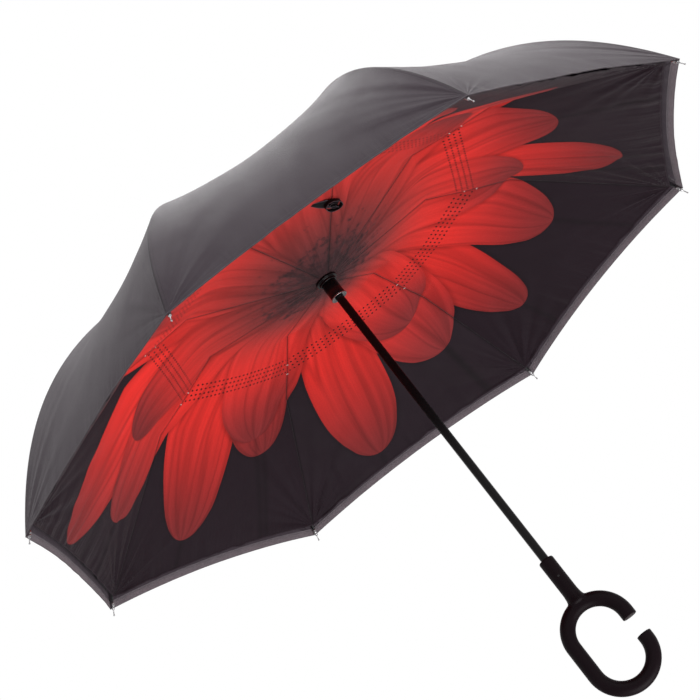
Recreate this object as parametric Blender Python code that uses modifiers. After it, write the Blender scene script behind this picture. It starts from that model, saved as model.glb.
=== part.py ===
"""Inverted umbrella with a C-shaped handle, held upright: shaft along +Z, canopy on top.

The origin is the centre of the C, and the C lies in the XZ plane with its mouth towards +X.
Every length is a named value in metres. Profiles are given as (radius, height) pairs.
"""

import math

import bmesh
import bpy
from mathutils import Matrix, Vector

MM = 0.001

# Fits shared by all pieces
GAP = 0.3 * MM
SLIDE_GAP = 0.35 * MM
OVERRUN = 2 * MM
MERGE = 0.001 * MM
SIDES = 24
SMALL_SIDES = 8
WIRE_STEPS = 32
WIRE_SIDES = 6
TONGUE_FLANK_SHARE = 0.9

# Canopy, seen as a whole
RIB_COUNT = 8
PANEL_DEG = 360 / RIB_COUNT
FIRST_RIB_DEG = PANEL_DEG / 2
CANOPY_R = 520 * MM
CROWN_RISE = 228.4 * MM
RIDGE_POWER = 4.08
TIPS_Z = 474 * MM
CLOTH_T = 0.8 * MM
RIM_SCALLOP = 10.5 * MM
SCALLOP_POWER = 6
PANEL_SAG = 15.6 * MM
OUTER_RINGS = 12
RING_CROWDING_SHARE = 0.8
PANEL_STRIPS = 5

# Inner canopy: its seam climbs along the rib to a kink, falls through the vent band, then runs to the rim
INNER_KINK_R = 191 * MM
INNER_KINK_UNDER_RIB = 8.1 * MM
INNER_BAND_R = 256 * MM
INNER_BAND_DROP = 17 * MM
INNER_BEND_R = 314 * MM
INNER_BEND_DROP = 12.5 * MM
INNER_RIM_INSET = 15 * MM
INNER_RIM_UNDER_RIDGE = 16.4 * MM
INNER_PANEL_SAG = 6 * MM
INNER_RINGS = (1, 3, 1, 1, 3)

# Shaft
SHAFT_R = 5.5 * MM
SHAFT_WALL = 0.9 * MM
SHAFT_IN_HANDLE = 54 * MM

# Handle
GRIP_R = 9.65 * MM
LOOP_R = 38.35 * MM
LOOP_STRAIGHT = 41 * MM
UPPER_END_Z = 11.8 * MM
LOWER_END_Z = -14.2 * MM
GRIP_RESOLUTION = 5
ARC_STEPS = 12
STEM_R = 10 * MM
STEM_TOP_Z = 128.2 * MM
STEM_CHAMFER = 1.5 * MM
FLARE_R = 12.5 * MM
FLARE_LENGTH = 14 * MM
FLARE_SEAT_SHARE = 0.6
FLARE_FOOT_SHARE = 0.7
PLUG_R = 7.2 * MM
PLUG_T = 2.2 * MM
PLUG_DOME = 0.5 * MM
HANDLE_PIN_R = 1.5 * MM
HANDLE_PIN_Z = 101 * MM

# Hinge rings: the wire in the notch carries the struts, the one in the runner carries the ribs
HINGE_R = 13 * MM
WIRE_R = 0.8 * MM
WIRE_ROOM = 0.4 * MM
RING_DISC_R = 16.2 * MM
RING_DISC_HALF = 3.5 * MM
RING_HUB_R = 9.5 * MM
EYE_R = 2.3 * MM
EYE_T = 1.6 * MM
EYE_ROOM = 0.45 * MM

# Notch, washer and cap at the top of the shaft
NOTCH_RISE = 206 * MM
NOTCH_PIN_R = 1 * MM
NOTCH_PIN_BELOW_TOP = 8 * MM
WASHER_R = 12 * MM
WASHER_T = 0.8 * MM
CAP_R = 14.5 * MM
CAP_HEIGHT = 9 * MM
CAP_RIM = 2.5 * MM
CAP_FLAT_R = 7 * MM
SHAFT_IN_CAP = 5.5 * MM

# Runner
RUNNER_RISE = 130 * MM
COLLAR_TOP_RISE = 119 * MM
COLLAR_R = 15.5 * MM
COLLAR_T = 3 * MM
COLLAR_STEP_R = 12.2 * MM
COLLAR_STEP_T = 3.7 * MM
NECK_R = 8.2 * MM
BODY_R = 10.5 * MM
BODY_LENGTH = 21.5 * MM
END_RING_R = 11.1 * MM
END_RING_T = 1.6 * MM
CLAMP_R = 15 * MM
CLAMP_T = 2.2 * MM
STOP_PIN_R = 1 * MM
STOP_PIN_LENGTH = 15 * MM

# Inner rib: a steel channel from the runner to the elbow
ELBOW_RIDGE_R = 324 * MM
STRUT_PIVOT_AT = 250 * MM
RIB_WIDTH = 3.4 * MM
RIB_HEIGHT = 3.2 * MM
RIB_WALL = 0.7 * MM
RIB_END_LENGTH = 16 * MM
EYE_REACH = 7 * MM
TONGUE_R = 2.2 * MM
TONGUE_T = 1.2 * MM
TONGUE_REACH = 4 * MM
ELBOW_PIN_R = 0.8 * MM

# Strut: two flat bars either side of the rib, joined at the notch end
STRUT_SIDE_GAP = 0.4 * MM
STRUT_BAR_T = 0.9 * MM
STRUT_HEIGHT = 3 * MM
STRUT_BRIDGE = 9 * MM
STRUT_EYE_R = 2.4 * MM
RIVET_R = 1.6 * MM
RIVET_HEAD = 0.7 * MM

# Outer rod: fibreglass, bowed under the outer canopy, with a fork at the elbow
ROD_R = 1.5 * MM
ROD_UNDER_CLOTH = 2.3 * MM
ROD_STEPS = 10
ROD_RESOLUTION = 2
FORK_R = 2.2 * MM
FORK_WIDTH = 3.6 * MM
FORK_SLOT = 1.9 * MM
FORK_SLOT_REACH = 2.7 * MM
FERRULE_LENGTH = 16 * MM
TIP_SOCKET_R = 2.3 * MM
TIP_SOCKET_LENGTH = 8 * MM
TIP_NEEDLE_R = 0.9 * MM
TIP_NEEDLE_LENGTH = 9 * MM
TIP_BALL_R = 1.4 * MM
TIP_BALL_STEPS = 4

# Closure strap, stitched across one rib's seam under the inner canopy and folded on itself
STRAP_RIB = 6
STRAP_R = 144 * MM
STRAP_ASIDE = 11.5 * MM
STRAP_TURN_DEG = 114
STRAP_LENGTH = 52 * MM
STRAP_WIDTH = 13 * MM
STRAP_T = 4 * MM
STRAP_DROP = 1.2 * MM
STRAP_FOLD_SHARE = 0.45
STRAP_FOLD_STEPS = 3

# Places that follow from the sizes above
NOTCH_Z = TIPS_Z + NOTCH_RISE
RUNNER_Z = TIPS_Z + RUNNER_RISE
COLLAR_TOP_Z = TIPS_Z + COLLAR_TOP_RISE
CROWN_Z = TIPS_Z + CROWN_RISE
HUB_TOP_Z = CROWN_Z - CLOTH_T - GAP
CAP_Z = CROWN_Z + GAP + WASHER_T + GAP
SHAFT_TOP_Z = CAP_Z + SHAFT_IN_CAP
SHAFT_LOW_Z = STEM_TOP_Z - SHAFT_IN_HANDLE
BORE_R = SHAFT_R + SLIDE_GAP
ROD_OFFSET = CLOTH_T + ROD_UNDER_CLOTH + ROD_R
INNER_RIM_R = CANOPY_R - INNER_RIM_INSET


def clear_scene():
    for obj in list(bpy.data.objects):
        bpy.data.objects.remove(obj, do_unlink=True)


def collection(name):
    made = bpy.data.collections.new(name)
    bpy.context.scene.collection.children.link(made)
    return made


def material(name, color, roughness, metallic=0.0):
    made = bpy.data.materials.new(name)
    made.use_nodes = True
    shader = made.node_tree.nodes["Principled BSDF"]
    shader.inputs["Base Color"].default_value = (*color, 1.0)
    shader.inputs["Roughness"].default_value = roughness
    shader.inputs["Metallic"].default_value = metallic
    return made


# Shapes: each of these returns a new object in the workshop collection

def workpiece(mesh):
    obj = bpy.data.objects.new("workpiece", mesh)
    WORKSHOP.objects.link(obj)
    return obj


def evaluated_mesh(obj):
    bpy.context.view_layer.update()
    graph = bpy.context.evaluated_depsgraph_get()
    mesh = bpy.data.meshes.new_from_object(obj.evaluated_get(graph))
    mesh.transform(obj.matrix_world)
    return mesh


def baked(obj):
    """The same shape with its modifiers and its place applied."""
    mesh = evaluated_mesh(obj)
    bpy.data.objects.remove(obj, do_unlink=True)
    return workpiece(mesh)


def turned(profile, steps=SIDES, ring=False):
    """A profile of (radius, height) points turned about Z. It runs down the outer side."""
    mesh = bpy.data.meshes.new("profile")
    points = [(r, 0, z) for r, z in profile]
    edges = [(i, i + 1) for i in range(len(points) - 1)]
    if ring:
        edges.append((len(points) - 1, 0))
    mesh.from_pydata(points, edges, [])
    obj = workpiece(mesh)
    screw = obj.modifiers.new("Turn", "SCREW")
    screw.steps = steps
    screw.render_steps = steps
    screw.use_merge_vertices = True
    screw.merge_threshold = MERGE
    return baked(obj)


def cylinder(radius, low, high, axis="Z", steps=SMALL_SIDES, at=(0, 0, 0)):
    """A cylinder along one axis, from low to high on it, through the point at."""
    mesh = bpy.data.meshes.new("cylinder")
    shape = bmesh.new()
    bmesh.ops.create_cone(
        shape, cap_ends=True, segments=steps, radius1=radius, radius2=radius, depth=high - low
    )
    bmesh.ops.translate(shape, verts=shape.verts, vec=(0, 0, (low + high) / 2))
    turn = {"Z": Matrix(), "X": Matrix.Rotation(math.pi / 2, 4, "Y"),
            "Y": Matrix.Rotation(-math.pi / 2, 4, "X")}[axis]
    bmesh.ops.transform(shape, matrix=Matrix.Translation(at) @ turn, verts=shape.verts)
    shape.to_mesh(mesh)
    shape.free()
    return workpiece(mesh)


def box(low, high):
    mesh = bpy.data.meshes.new("box")
    shape = bmesh.new()
    bmesh.ops.create_cube(shape, size=1.0)
    size = Vector(high) - Vector(low)
    middle = Vector(high) / 2 + Vector(low) / 2
    place = Matrix.Translation(middle) @ Matrix.Diagonal((*size, 1.0))
    bmesh.ops.transform(shape, matrix=place, verts=shape.verts)
    shape.to_mesh(mesh)
    shape.free()
    return workpiece(mesh)


def torus(major, minor, z, major_steps=WIRE_STEPS, minor_steps=WIRE_SIDES):
    circle = [
        (major + minor * math.cos(a), z - minor * math.sin(a))
        for a in (2 * math.pi * i / minor_steps for i in range(minor_steps))
    ]
    return turned(circle, major_steps, ring=True)


def boolean(target, tool, operation):
    modifier = target.modifiers.new(operation, "BOOLEAN")
    modifier.operation = operation
    modifier.solver = "EXACT"
    modifier.object = tool
    result = baked(target)
    bpy.data.objects.remove(tool, do_unlink=True)
    return result


def joined(target, *tools):
    for tool in tools:
        target = boolean(target, tool, "UNION")
    return target


def cut(target, *tools):
    for tool in tools:
        target = boolean(target, tool, "DIFFERENCE")
    return target


def finished(obj, name, look, parent=None, location=(0, 0, 0), rotation=(0, 0, 0), smooth_deg=35):
    """Name a workpiece, shade it, and put it in the umbrella's collection."""
    mesh = obj.data
    mesh.name = name
    mesh.materials.clear()
    mesh.materials.append(look)
    mesh.shade_smooth()
    mesh.set_sharp_from_angle(angle=math.radians(smooth_deg))
    bpy.data.objects.remove(obj, do_unlink=True)
    return placed(mesh, name, parent, location, rotation)


def placed(mesh, name, parent=None, location=(0, 0, 0), rotation=(0, 0, 0)):
    obj = bpy.data.objects.new(name, mesh)
    UMBRELLA.objects.link(obj)
    obj.parent = parent
    obj.location = location
    obj.rotation_euler = rotation
    return obj


def empty(name, location):
    return placed(None, name, None, location)


# The canopy's geometry, which ribs and rods follow too

def azimuth(index):
    """Direction of a rib seen from above. Ribs are numbered from 0 at the first one."""
    return math.radians(FIRST_RIB_DEG + PANEL_DEG * index)


def ridge_z(r):
    """Height of the outer canopy's top face above a rib."""
    return TIPS_Z + CROWN_RISE * (1 - (r / CANOPY_R) ** RIDGE_POWER)


def ridge_slope(r):
    return -CROWN_RISE * RIDGE_POWER / CANOPY_R * (r / CANOPY_R) ** (RIDGE_POWER - 1)


def under_ridge(r, depth):
    """The (radius, height) point at a depth under the ridge, square to it."""
    slope = ridge_slope(r)
    length = math.hypot(1, slope)
    return Vector((r + depth * slope / length, ridge_z(r) - depth / length))


def rib_z(r):
    """Height of an inner rib's centre line, which runs from the runner's hinge to the elbow."""
    elbow = under_ridge(ELBOW_RIDGE_R, ROD_OFFSET)
    return RUNNER_Z + (elbow.y - RUNNER_Z) * (r - HINGE_R) / (elbow.x - HINGE_R)


def across_panel(index, r, z, slope, share, sag, scallop):
    """A point on a panel: share runs 0 to 1 from one rib to the next, and the middle sags."""
    a = azimuth(index)
    b = azimuth(index + 1)
    middle = (a + b) / 2
    flat = Vector((math.cos(a), math.sin(a))).lerp(Vector((math.cos(b), math.sin(b))), share) * r
    bulge = 1 - (2 * share - 1) ** 2
    length = math.hypot(1, slope)
    inward = (sag * slope - scallop) / length * bulge
    down = (sag + scallop * slope) / length * bulge
    return (flat.x + inward * math.cos(middle), flat.y + inward * math.sin(middle), z - down)


def sheet(rows):
    """An open surface from rows of (r, z, slope, sag, scallop), one row a ring."""
    shape = bmesh.new()
    rings = []
    for r, z, slope, sag, scallop in rows:
        ring = [
            shape.verts.new(across_panel(k, r, z, slope, j / PANEL_STRIPS, sag, scallop))
            for k in range(RIB_COUNT)
            for j in range(PANEL_STRIPS)
        ]
        rings.append(ring)
    for inner, outer in zip(rings, rings[1:]):
        for j in range(len(inner)):
            following = (j + 1) % len(inner)
            shape.faces.new((inner[j], outer[j], outer[following], inner[following]))
    bmesh.ops.recalc_face_normals(shape, faces=shape.faces)
    mesh = bpy.data.meshes.new("sheet")
    shape.to_mesh(mesh)
    shape.free()
    return workpiece(mesh)


def thickened(obj, side):
    """Give a sheet its thickness. side is -1 to grow below its face, 1 to grow above it."""
    upward = sum(face.normal.z for face in obj.data.polygons) > 0
    solidify = obj.modifiers.new("Thickness", "SOLIDIFY")
    solidify.thickness = CLOTH_T
    solidify.offset = side if upward else -side
    return baked(obj)


def make_outer_canopy():
    """It lies flat under the washer, and sags between the ribs from there to the rim."""
    flat_r = around(WASHER_R)
    radii = [around(SHAFT_R + SLIDE_GAP)]
    for i in range(OUTER_RINGS + 1):
        radii.append(flat_r + (CANOPY_R - flat_r) * (i / OUTER_RINGS) ** RING_CROWDING_SHARE)
    rows = []
    for r in radii:
        free = max(0.0, (r - flat_r) / (CANOPY_R - flat_r))
        sag = PANEL_SAG * math.sin(math.pi * free)
        rows.append((r, ridge_z(r), ridge_slope(r), sag, rim_scallop(r, CANOPY_R)))
    finished(thickened(sheet(rows), -1), "outer_canopy", CLOTH_GREY, smooth_deg=180)


def rim_scallop(r, rim_r):
    """How far the cloth's middle lies up the slope from its corners. It fades away inwards."""
    return RIM_SCALLOP * (r / rim_r) ** SCALLOP_POWER


def around(r):
    """Corner radius of a hole with one corner a rib that clears a round post of radius r."""
    return r / math.cos(math.pi / RIB_COUNT)


def inner_seam():
    """Corners of the inner canopy's seam as (radius, height), from the collar to the rim."""
    kink_z = rib_z(INNER_KINK_R) - INNER_KINK_UNDER_RIB
    return [
        (around(NECK_R + GAP), COLLAR_TOP_Z + GAP),
        (COLLAR_R + OVERRUN, COLLAR_TOP_Z + GAP),
        (INNER_KINK_R, kink_z),
        (INNER_BAND_R, kink_z - INNER_BAND_DROP),
        (INNER_BEND_R, kink_z - INNER_BAND_DROP - INNER_BEND_DROP),
        (INNER_RIM_R, ridge_z(INNER_RIM_R) - INNER_RIM_UNDER_RIDGE),
    ]


def make_inner_canopy():
    corners = inner_seam()
    rows = []
    for (r0, z0), (r1, z1), steps in zip(corners, corners[1:], INNER_RINGS):
        slope = (z1 - z0) / (r1 - r0)
        for i in range(steps):
            share = i / steps
            rows.append((r0 + (r1 - r0) * share, z0 + (z1 - z0) * share, slope))
    rows.append((*corners[-1], slope))
    dressed = []
    for r, z, slope in rows:
        free = max(0.0, r - COLLAR_R - OVERRUN) / (INNER_RIM_R - COLLAR_R - OVERRUN)
        sag = INNER_PANEL_SAG * math.sin(math.pi * free)
        dressed.append((r, z, slope, sag, rim_scallop(r, INNER_RIM_R)))
    finished(thickened(sheet(dressed), 1), "inner_canopy", CLOTH_PLUM, RUNNER, smooth_deg=180,
             location=(0, 0, -RUNNER_Z))


def make_strap():
    """A band folded flat on itself, hanging under the inner canopy across a rib's seam."""
    (collar_r, collar_z), (kink_r, kink_z) = inner_seam()[1:3]
    slope = (kink_z - collar_z) / (kink_r - collar_r)
    band = box(
        (-STRAP_LENGTH / 2, -STRAP_WIDTH / 2, -STRAP_T), (STRAP_LENGTH / 2, STRAP_WIDTH / 2, 0)
    )
    bevel = band.modifiers.new("Folds", "BEVEL")
    bevel.width = STRAP_T * STRAP_FOLD_SHARE
    bevel.segments = STRAP_FOLD_STEPS
    band = baked(band)
    turn = Matrix.Rotation(math.radians(STRAP_TURN_DEG), 4, "Z")
    band.matrix_world = Matrix.Translation((0, -STRAP_ASIDE, 0)) @ turn
    seam_z = collar_z + slope * (STRAP_R - collar_r)
    angle = azimuth(STRAP_RIB)
    finished(
        baked(band), "closure_strap", STRAP_BLACK, RUNNER,
        (STRAP_R * math.cos(angle), STRAP_R * math.sin(angle), seam_z - STRAP_DROP - RUNNER_Z),
        (0, -math.atan(slope), angle),
    )


# Shaft and handle

def make_shaft():
    inner_r = SHAFT_R - SHAFT_WALL
    tube = turned(
        [(SHAFT_R, SHAFT_TOP_Z), (SHAFT_R, SHAFT_LOW_Z), (inner_r, SHAFT_LOW_Z), (inner_r, SHAFT_TOP_Z)],
        ring=True,
    )
    for z, pin_r in (
        (HANDLE_PIN_Z, HANDLE_PIN_R),
        (STOP_PIN_Z, STOP_PIN_R),
        (NOTCH_PIN_Z, NOTCH_PIN_R),
    ):
        tube = cut(tube, cylinder(pin_r + GAP, -BODY_R, BODY_R, "Y", at=(0, 0, z)))
    finished(tube, "shaft", GLOSS_BLACK)


def loop_path():
    """The C's centre line in the XZ plane, from the upper end face round to the lower one."""
    half = LOOP_STRAIGHT / 2
    points = [(LOOP_R, UPPER_END_Z)]
    for i in range(ARC_STEPS + 1):
        a = math.pi * i / ARC_STEPS
        points.append((LOOP_R * math.cos(a), half + LOOP_R * math.sin(a)))
    for i in range(ARC_STEPS + 1):
        a = math.pi * (1 + i / ARC_STEPS)
        points.append((LOOP_R * math.cos(a), -half + LOOP_R * math.sin(a)))
    points.append((LOOP_R, LOWER_END_Z))
    return points


def tube_along(points, radius, resolution):
    """A round bar along a list of 3D points, as a closed mesh."""
    curve = bpy.data.curves.new("path", "CURVE")
    curve.dimensions = "3D"
    curve.bevel_depth = radius
    curve.bevel_resolution = resolution
    curve.use_fill_caps = True
    spline = curve.splines.new("POLY")
    spline.points.add(len(points) - 1)
    for point, place in zip(spline.points, points):
        point.co = (*place, 1)
    mesh = evaluated_mesh_of_curve(curve)
    shape = bmesh.new()
    shape.from_mesh(mesh)
    bmesh.ops.remove_doubles(shape, verts=shape.verts, dist=MERGE)
    bmesh.ops.recalc_face_normals(shape, faces=shape.faces)
    shape.to_mesh(mesh)
    shape.free()
    return workpiece(mesh)


def evaluated_mesh_of_curve(curve):
    guide = bpy.data.objects.new("path", curve)
    WORKSHOP.objects.link(guide)
    mesh = evaluated_mesh(guide)
    bpy.data.objects.remove(guide, do_unlink=True)
    return mesh


def make_handle():
    grip = tube_along([(x, 0, z) for x, z in loop_path()], GRIP_R, GRIP_RESOLUTION)
    loop_top = LOOP_STRAIGHT / 2 + LOOP_R
    flare_z = loop_top + GRIP_R * FLARE_SEAT_SHARE
    stem = turned([
        (0, STEM_TOP_Z),
        (STEM_R - STEM_CHAMFER, STEM_TOP_Z),
        (STEM_R, STEM_TOP_Z - STEM_CHAMFER),
        (STEM_R, flare_z + FLARE_LENGTH),
        (FLARE_R, flare_z),
        (GRIP_R * FLARE_FOOT_SHARE, loop_top),
        (0, loop_top),
    ])
    handle = joined(grip, stem)
    handle = cut(
        handle,
        cylinder(BORE_R, SHAFT_LOW_Z - GAP, STEM_TOP_Z + OVERRUN, steps=SIDES),
        cylinder(HANDLE_PIN_R + GAP, -STEM_R - OVERRUN, STEM_R + OVERRUN, "Y", at=(0, 0, HANDLE_PIN_Z)),
        cylinder(PLUG_R + GAP, -OVERRUN, PLUG_T + GAP, steps=SIDES, at=(LOOP_R, 0, UPPER_END_Z)),
        cylinder(PLUG_R + GAP, -PLUG_T - GAP, OVERRUN, steps=SIDES, at=(LOOP_R, 0, LOWER_END_Z)),
    )
    finished(handle, "handle", MATTE_BLACK)
    plug = [(0, PLUG_DOME), (PLUG_R - PLUG_DOME, PLUG_DOME), (PLUG_R, 0), (PLUG_R, -PLUG_T), (0, -PLUG_T)]
    finished(turned(plug, SIDES), "handle_end_cap_lower", MATTE_BLACK, None, (LOOP_R, 0, LOWER_END_Z))
    finished(turned(plug, SIDES), "handle_end_cap_upper", MATTE_BLACK, None,
             (LOOP_R, 0, UPPER_END_Z), (math.pi, 0, 0))
    pin = cylinder(HANDLE_PIN_R, -STEM_R, STEM_R, "Y")
    finished(pin, "handle_pin", STEEL, None, (0, 0, HANDLE_PIN_Z))


# Notch, cap and runner

def hinge_slots(z):
    """Cutters for one hinge ring: a groove for the wire and a slot for each eye."""
    cutters = [torus(HINGE_R, WIRE_R + WIRE_ROOM, z)]
    half = EYE_T / 2 + EYE_ROOM
    for k in range(RIB_COUNT):
        slot = box(
            (HINGE_R - EYE_R - EYE_ROOM, -half, z - RING_DISC_HALF - OVERRUN),
            (RING_DISC_R + OVERRUN, half, z + RING_DISC_HALF + OVERRUN),
        )
        slot.rotation_euler = (0, 0, azimuth(k))
        cutters.append(baked(slot))
    return cutters


def make_notch():
    notch = turned([
        (RING_HUB_R, HUB_TOP_Z),
        (RING_HUB_R, NOTCH_Z + RING_DISC_HALF),
        (RING_DISC_R, NOTCH_Z + RING_DISC_HALF),
        (RING_DISC_R, NOTCH_Z - RING_DISC_HALF),
        (BORE_R, NOTCH_Z - RING_DISC_HALF),
        (BORE_R, HUB_TOP_Z),
    ], ring=True)
    notch = cut(notch, *hinge_slots(NOTCH_Z))
    notch = cut(notch, cylinder(NOTCH_PIN_R + GAP, -RING_DISC_R, RING_DISC_R, "Y", at=(0, 0, NOTCH_PIN_Z)))
    finished(notch, "top_notch", MATTE_BLACK)
    finished(torus(HINGE_R, WIRE_R, NOTCH_Z), "notch_ring_wire", STEEL)
    pin = cylinder(NOTCH_PIN_R, -RING_HUB_R, RING_HUB_R, "Y")
    finished(pin, "notch_pin", STEEL, None, (0, 0, NOTCH_PIN_Z))
    low = CROWN_Z + GAP
    washer = [(WASHER_R, low + WASHER_T), (WASHER_R, low), (BORE_R, low), (BORE_R, low + WASHER_T)]
    finished(turned(washer, ring=True), "top_washer", STEEL)
    cap = turned([
        (0, CAP_Z + CAP_HEIGHT),
        (CAP_FLAT_R, CAP_Z + CAP_HEIGHT),
        (CAP_R - CAP_RIM, CAP_Z + CAP_HEIGHT - CAP_RIM / 2),
        (CAP_R, CAP_Z + CAP_RIM),
        (CAP_R, CAP_Z),
        (0, CAP_Z),
    ])
    cap = cut(cap, cylinder(BORE_R, CAP_Z - OVERRUN, SHAFT_TOP_Z + GAP, steps=SIDES))
    finished(cap, "top_cap", MATTE_BLACK)


def make_runner():
    collar_low = COLLAR_TOP_Z - COLLAR_T - COLLAR_STEP_T
    body_top = collar_low - GAP
    clamp_low = COLLAR_TOP_Z + GAP + CLOTH_T + GAP
    neck_top = clamp_low + CLAMP_T
    body = turned([
        (NECK_R, neck_top),
        (NECK_R, body_top),
        (BODY_R, body_top),
        (BODY_R, body_top - BODY_LENGTH),
        (BORE_R, body_top - BODY_LENGTH),
        (BORE_R, neck_top),
    ], ring=True)
    finished(body, "runner_body", GLOSS_BLACK, RUNNER, (0, 0, -RUNNER_Z))
    collar = [
        (COLLAR_R, COLLAR_TOP_Z),
        (COLLAR_R, COLLAR_TOP_Z - COLLAR_T),
        (COLLAR_STEP_R, COLLAR_TOP_Z - COLLAR_T),
        (COLLAR_STEP_R, collar_low),
        (NECK_R + GAP, collar_low),
        (NECK_R + GAP, COLLAR_TOP_Z),
    ]
    finished(turned(collar, ring=True), "runner_collar", GLOSS_BLACK, RUNNER, (0, 0, -RUNNER_Z))
    ring_top = body_top - BODY_LENGTH - GAP
    end_ring = [
        (END_RING_R, ring_top),
        (END_RING_R, ring_top - END_RING_T),
        (BORE_R, ring_top - END_RING_T),
        (BORE_R, ring_top),
    ]
    finished(turned(end_ring, ring=True), "runner_end_ring", STEEL, RUNNER, (0, 0, -RUNNER_Z))
    disc_top = RUNNER_Z + RING_DISC_HALF
    disc_low = RUNNER_Z - RING_DISC_HALF
    crown = turned([
        (RING_DISC_R, disc_top),
        (RING_DISC_R, disc_low),
        (RING_HUB_R, disc_low),
        (RING_HUB_R, clamp_low + CLAMP_T),
        (CLAMP_R, clamp_low + CLAMP_T),
        (CLAMP_R, clamp_low),
        (NECK_R + GAP, clamp_low),
        (NECK_R + GAP, neck_top + GAP),
        (BORE_R, neck_top + GAP),
        (BORE_R, disc_top),
    ], ring=True)
    crown = cut(crown, *hinge_slots(RUNNER_Z))
    finished(crown, "runner_crown", MATTE_BLACK, RUNNER, (0, 0, -RUNNER_Z))
    finished(torus(HINGE_R, WIRE_R, RUNNER_Z), "runner_ring_wire", STEEL, RUNNER, (0, 0, -RUNNER_Z))
    pin = cylinder(STOP_PIN_R, -STOP_PIN_LENGTH / 2, STOP_PIN_LENGTH / 2, "Y")
    finished(pin, "stop_pin", STEEL, None, (0, 0, STOP_PIN_Z))


# Ribs, struts, rods and tips, each along its own +X from its hinge

def eye(reach, radius, thickness, hole_r):
    """A flat tongue with a round end on the hinge axis, which is Y, and a hole in it."""
    half = thickness / 2
    flank = radius * TONGUE_FLANK_SHARE
    tongue = joined(
        cylinder(radius, -half, half, "Y"),
        box((0, -half, -flank), (reach, half, flank)),
    )
    return cut(tongue, cylinder(hole_r, -half - OVERRUN, half + OVERRUN, "Y"))


def rib_mesh(length):
    half_w = RIB_WIDTH / 2
    half_h = RIB_HEIGHT / 2
    bar = box((EYE_REACH, -half_w, -half_h), (length - TONGUE_REACH, half_w, half_h))
    groove = box(
        (RIB_END_LENGTH, -half_w + RIB_WALL, -half_h + RIB_WALL),
        (length - RIB_END_LENGTH, half_w - RIB_WALL, half_h + OVERRUN),
    )
    bar = cut(bar, groove, cylinder(ELBOW_PIN_R + GAP, -RIB_WIDTH, RIB_WIDTH, "Y", at=(STRUT_PIVOT_AT, 0, 0)))
    far = eye(TONGUE_REACH + OVERRUN, TONGUE_R, TONGUE_T, ELBOW_PIN_R + GAP)
    far.matrix_world = Matrix.Translation((length, 0, 0)) @ Matrix.Rotation(math.pi, 4, "Z")
    near = eye(EYE_REACH + OVERRUN, EYE_R, EYE_T, WIRE_R + WIRE_ROOM)
    return joined(bar, near, baked(far))


def strut_mesh(length):
    inside = RIB_WIDTH / 2 + STRUT_SIDE_GAP
    outside = inside + STRUT_BAR_T
    half_h = STRUT_HEIGHT / 2
    bridge = box((EYE_REACH, -outside, -half_h), (EYE_REACH + STRUT_BRIDGE, outside, half_h))
    strut = joined(bridge, eye(EYE_REACH + OVERRUN, EYE_R, EYE_T, WIRE_R + WIRE_ROOM))
    for low, high, head_low, head_high in (
        (inside, outside, outside - STRUT_BAR_T / 2, outside + RIVET_HEAD),
        (-outside, -inside, -outside - RIVET_HEAD, -outside + STRUT_BAR_T / 2),
    ):
        strut = joined(
            strut,
            box((EYE_REACH + STRUT_BRIDGE / 2, low, -half_h), (length, high, half_h)),
            cylinder(STRUT_EYE_R, low, high, "Y", at=(length, 0, 0)),
            cylinder(RIVET_R, head_low, head_high, "Y", at=(length, 0, 0)),
        )
    return strut


def rod_mesh(points):
    """The bowed rod with its ferrule, and a fork whose pin passes through the rib's tongue."""
    bow = tube_along([(x, 0, z) for x, z in points], ROD_R, ROD_RESOLUTION)
    flank = FORK_R * TONGUE_FLANK_SHARE
    along = Vector(points[1]).normalized()
    turn = Matrix.Rotation(-math.atan2(along.y, along.x), 4, "Y")
    ferrule = cylinder(FORK_WIDTH / 2, FORK_SLOT_REACH, FERRULE_LENGTH, "X")
    head = joined(
        cylinder(FORK_R, -FORK_WIDTH / 2, FORK_WIDTH / 2, "Y"),
        box((0, -FORK_WIDTH / 2, -flank), (FORK_SLOT_REACH + OVERRUN, FORK_WIDTH / 2, flank)),
        ferrule,
    )
    head.matrix_world = turn
    slot = box((-FORK_R - OVERRUN, -FORK_SLOT / 2, -FORK_R - OVERRUN),
               (FORK_SLOT_REACH, FORK_SLOT / 2, FORK_R + OVERRUN))
    slot.matrix_world = turn
    pin = cylinder(ELBOW_PIN_R, -FORK_WIDTH / 2 + GAP, FORK_WIDTH / 2 - GAP, "Y")
    return joined(cut(joined(baked(head), bow), baked(slot)), pin)


def tip_mesh():
    """Along its own +X: a socket over the rod's end, then a needle with a ball."""
    bore = ROD_R + GAP
    tip = turned([
        (0, TIP_NEEDLE_LENGTH),
        (TIP_NEEDLE_R, TIP_NEEDLE_LENGTH),
        (TIP_NEEDLE_R, TIP_SOCKET_R),
        (TIP_SOCKET_R, 0),
        (TIP_SOCKET_R, -TIP_SOCKET_LENGTH),
        (bore, -TIP_SOCKET_LENGTH),
        (bore, 0),
        (0, 0),
    ], SMALL_SIDES)
    turns = [math.pi * i / TIP_BALL_STEPS for i in range(TIP_BALL_STEPS + 1)]
    ball = turned(
        [(TIP_BALL_R * math.sin(a), TIP_NEEDLE_LENGTH + TIP_BALL_R * math.cos(a)) for a in turns], SMALL_SIDES
    )
    tip = joined(tip, ball)
    tip.matrix_world = Matrix.Rotation(math.pi / 2, 4, "Y")
    return baked(tip)


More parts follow.
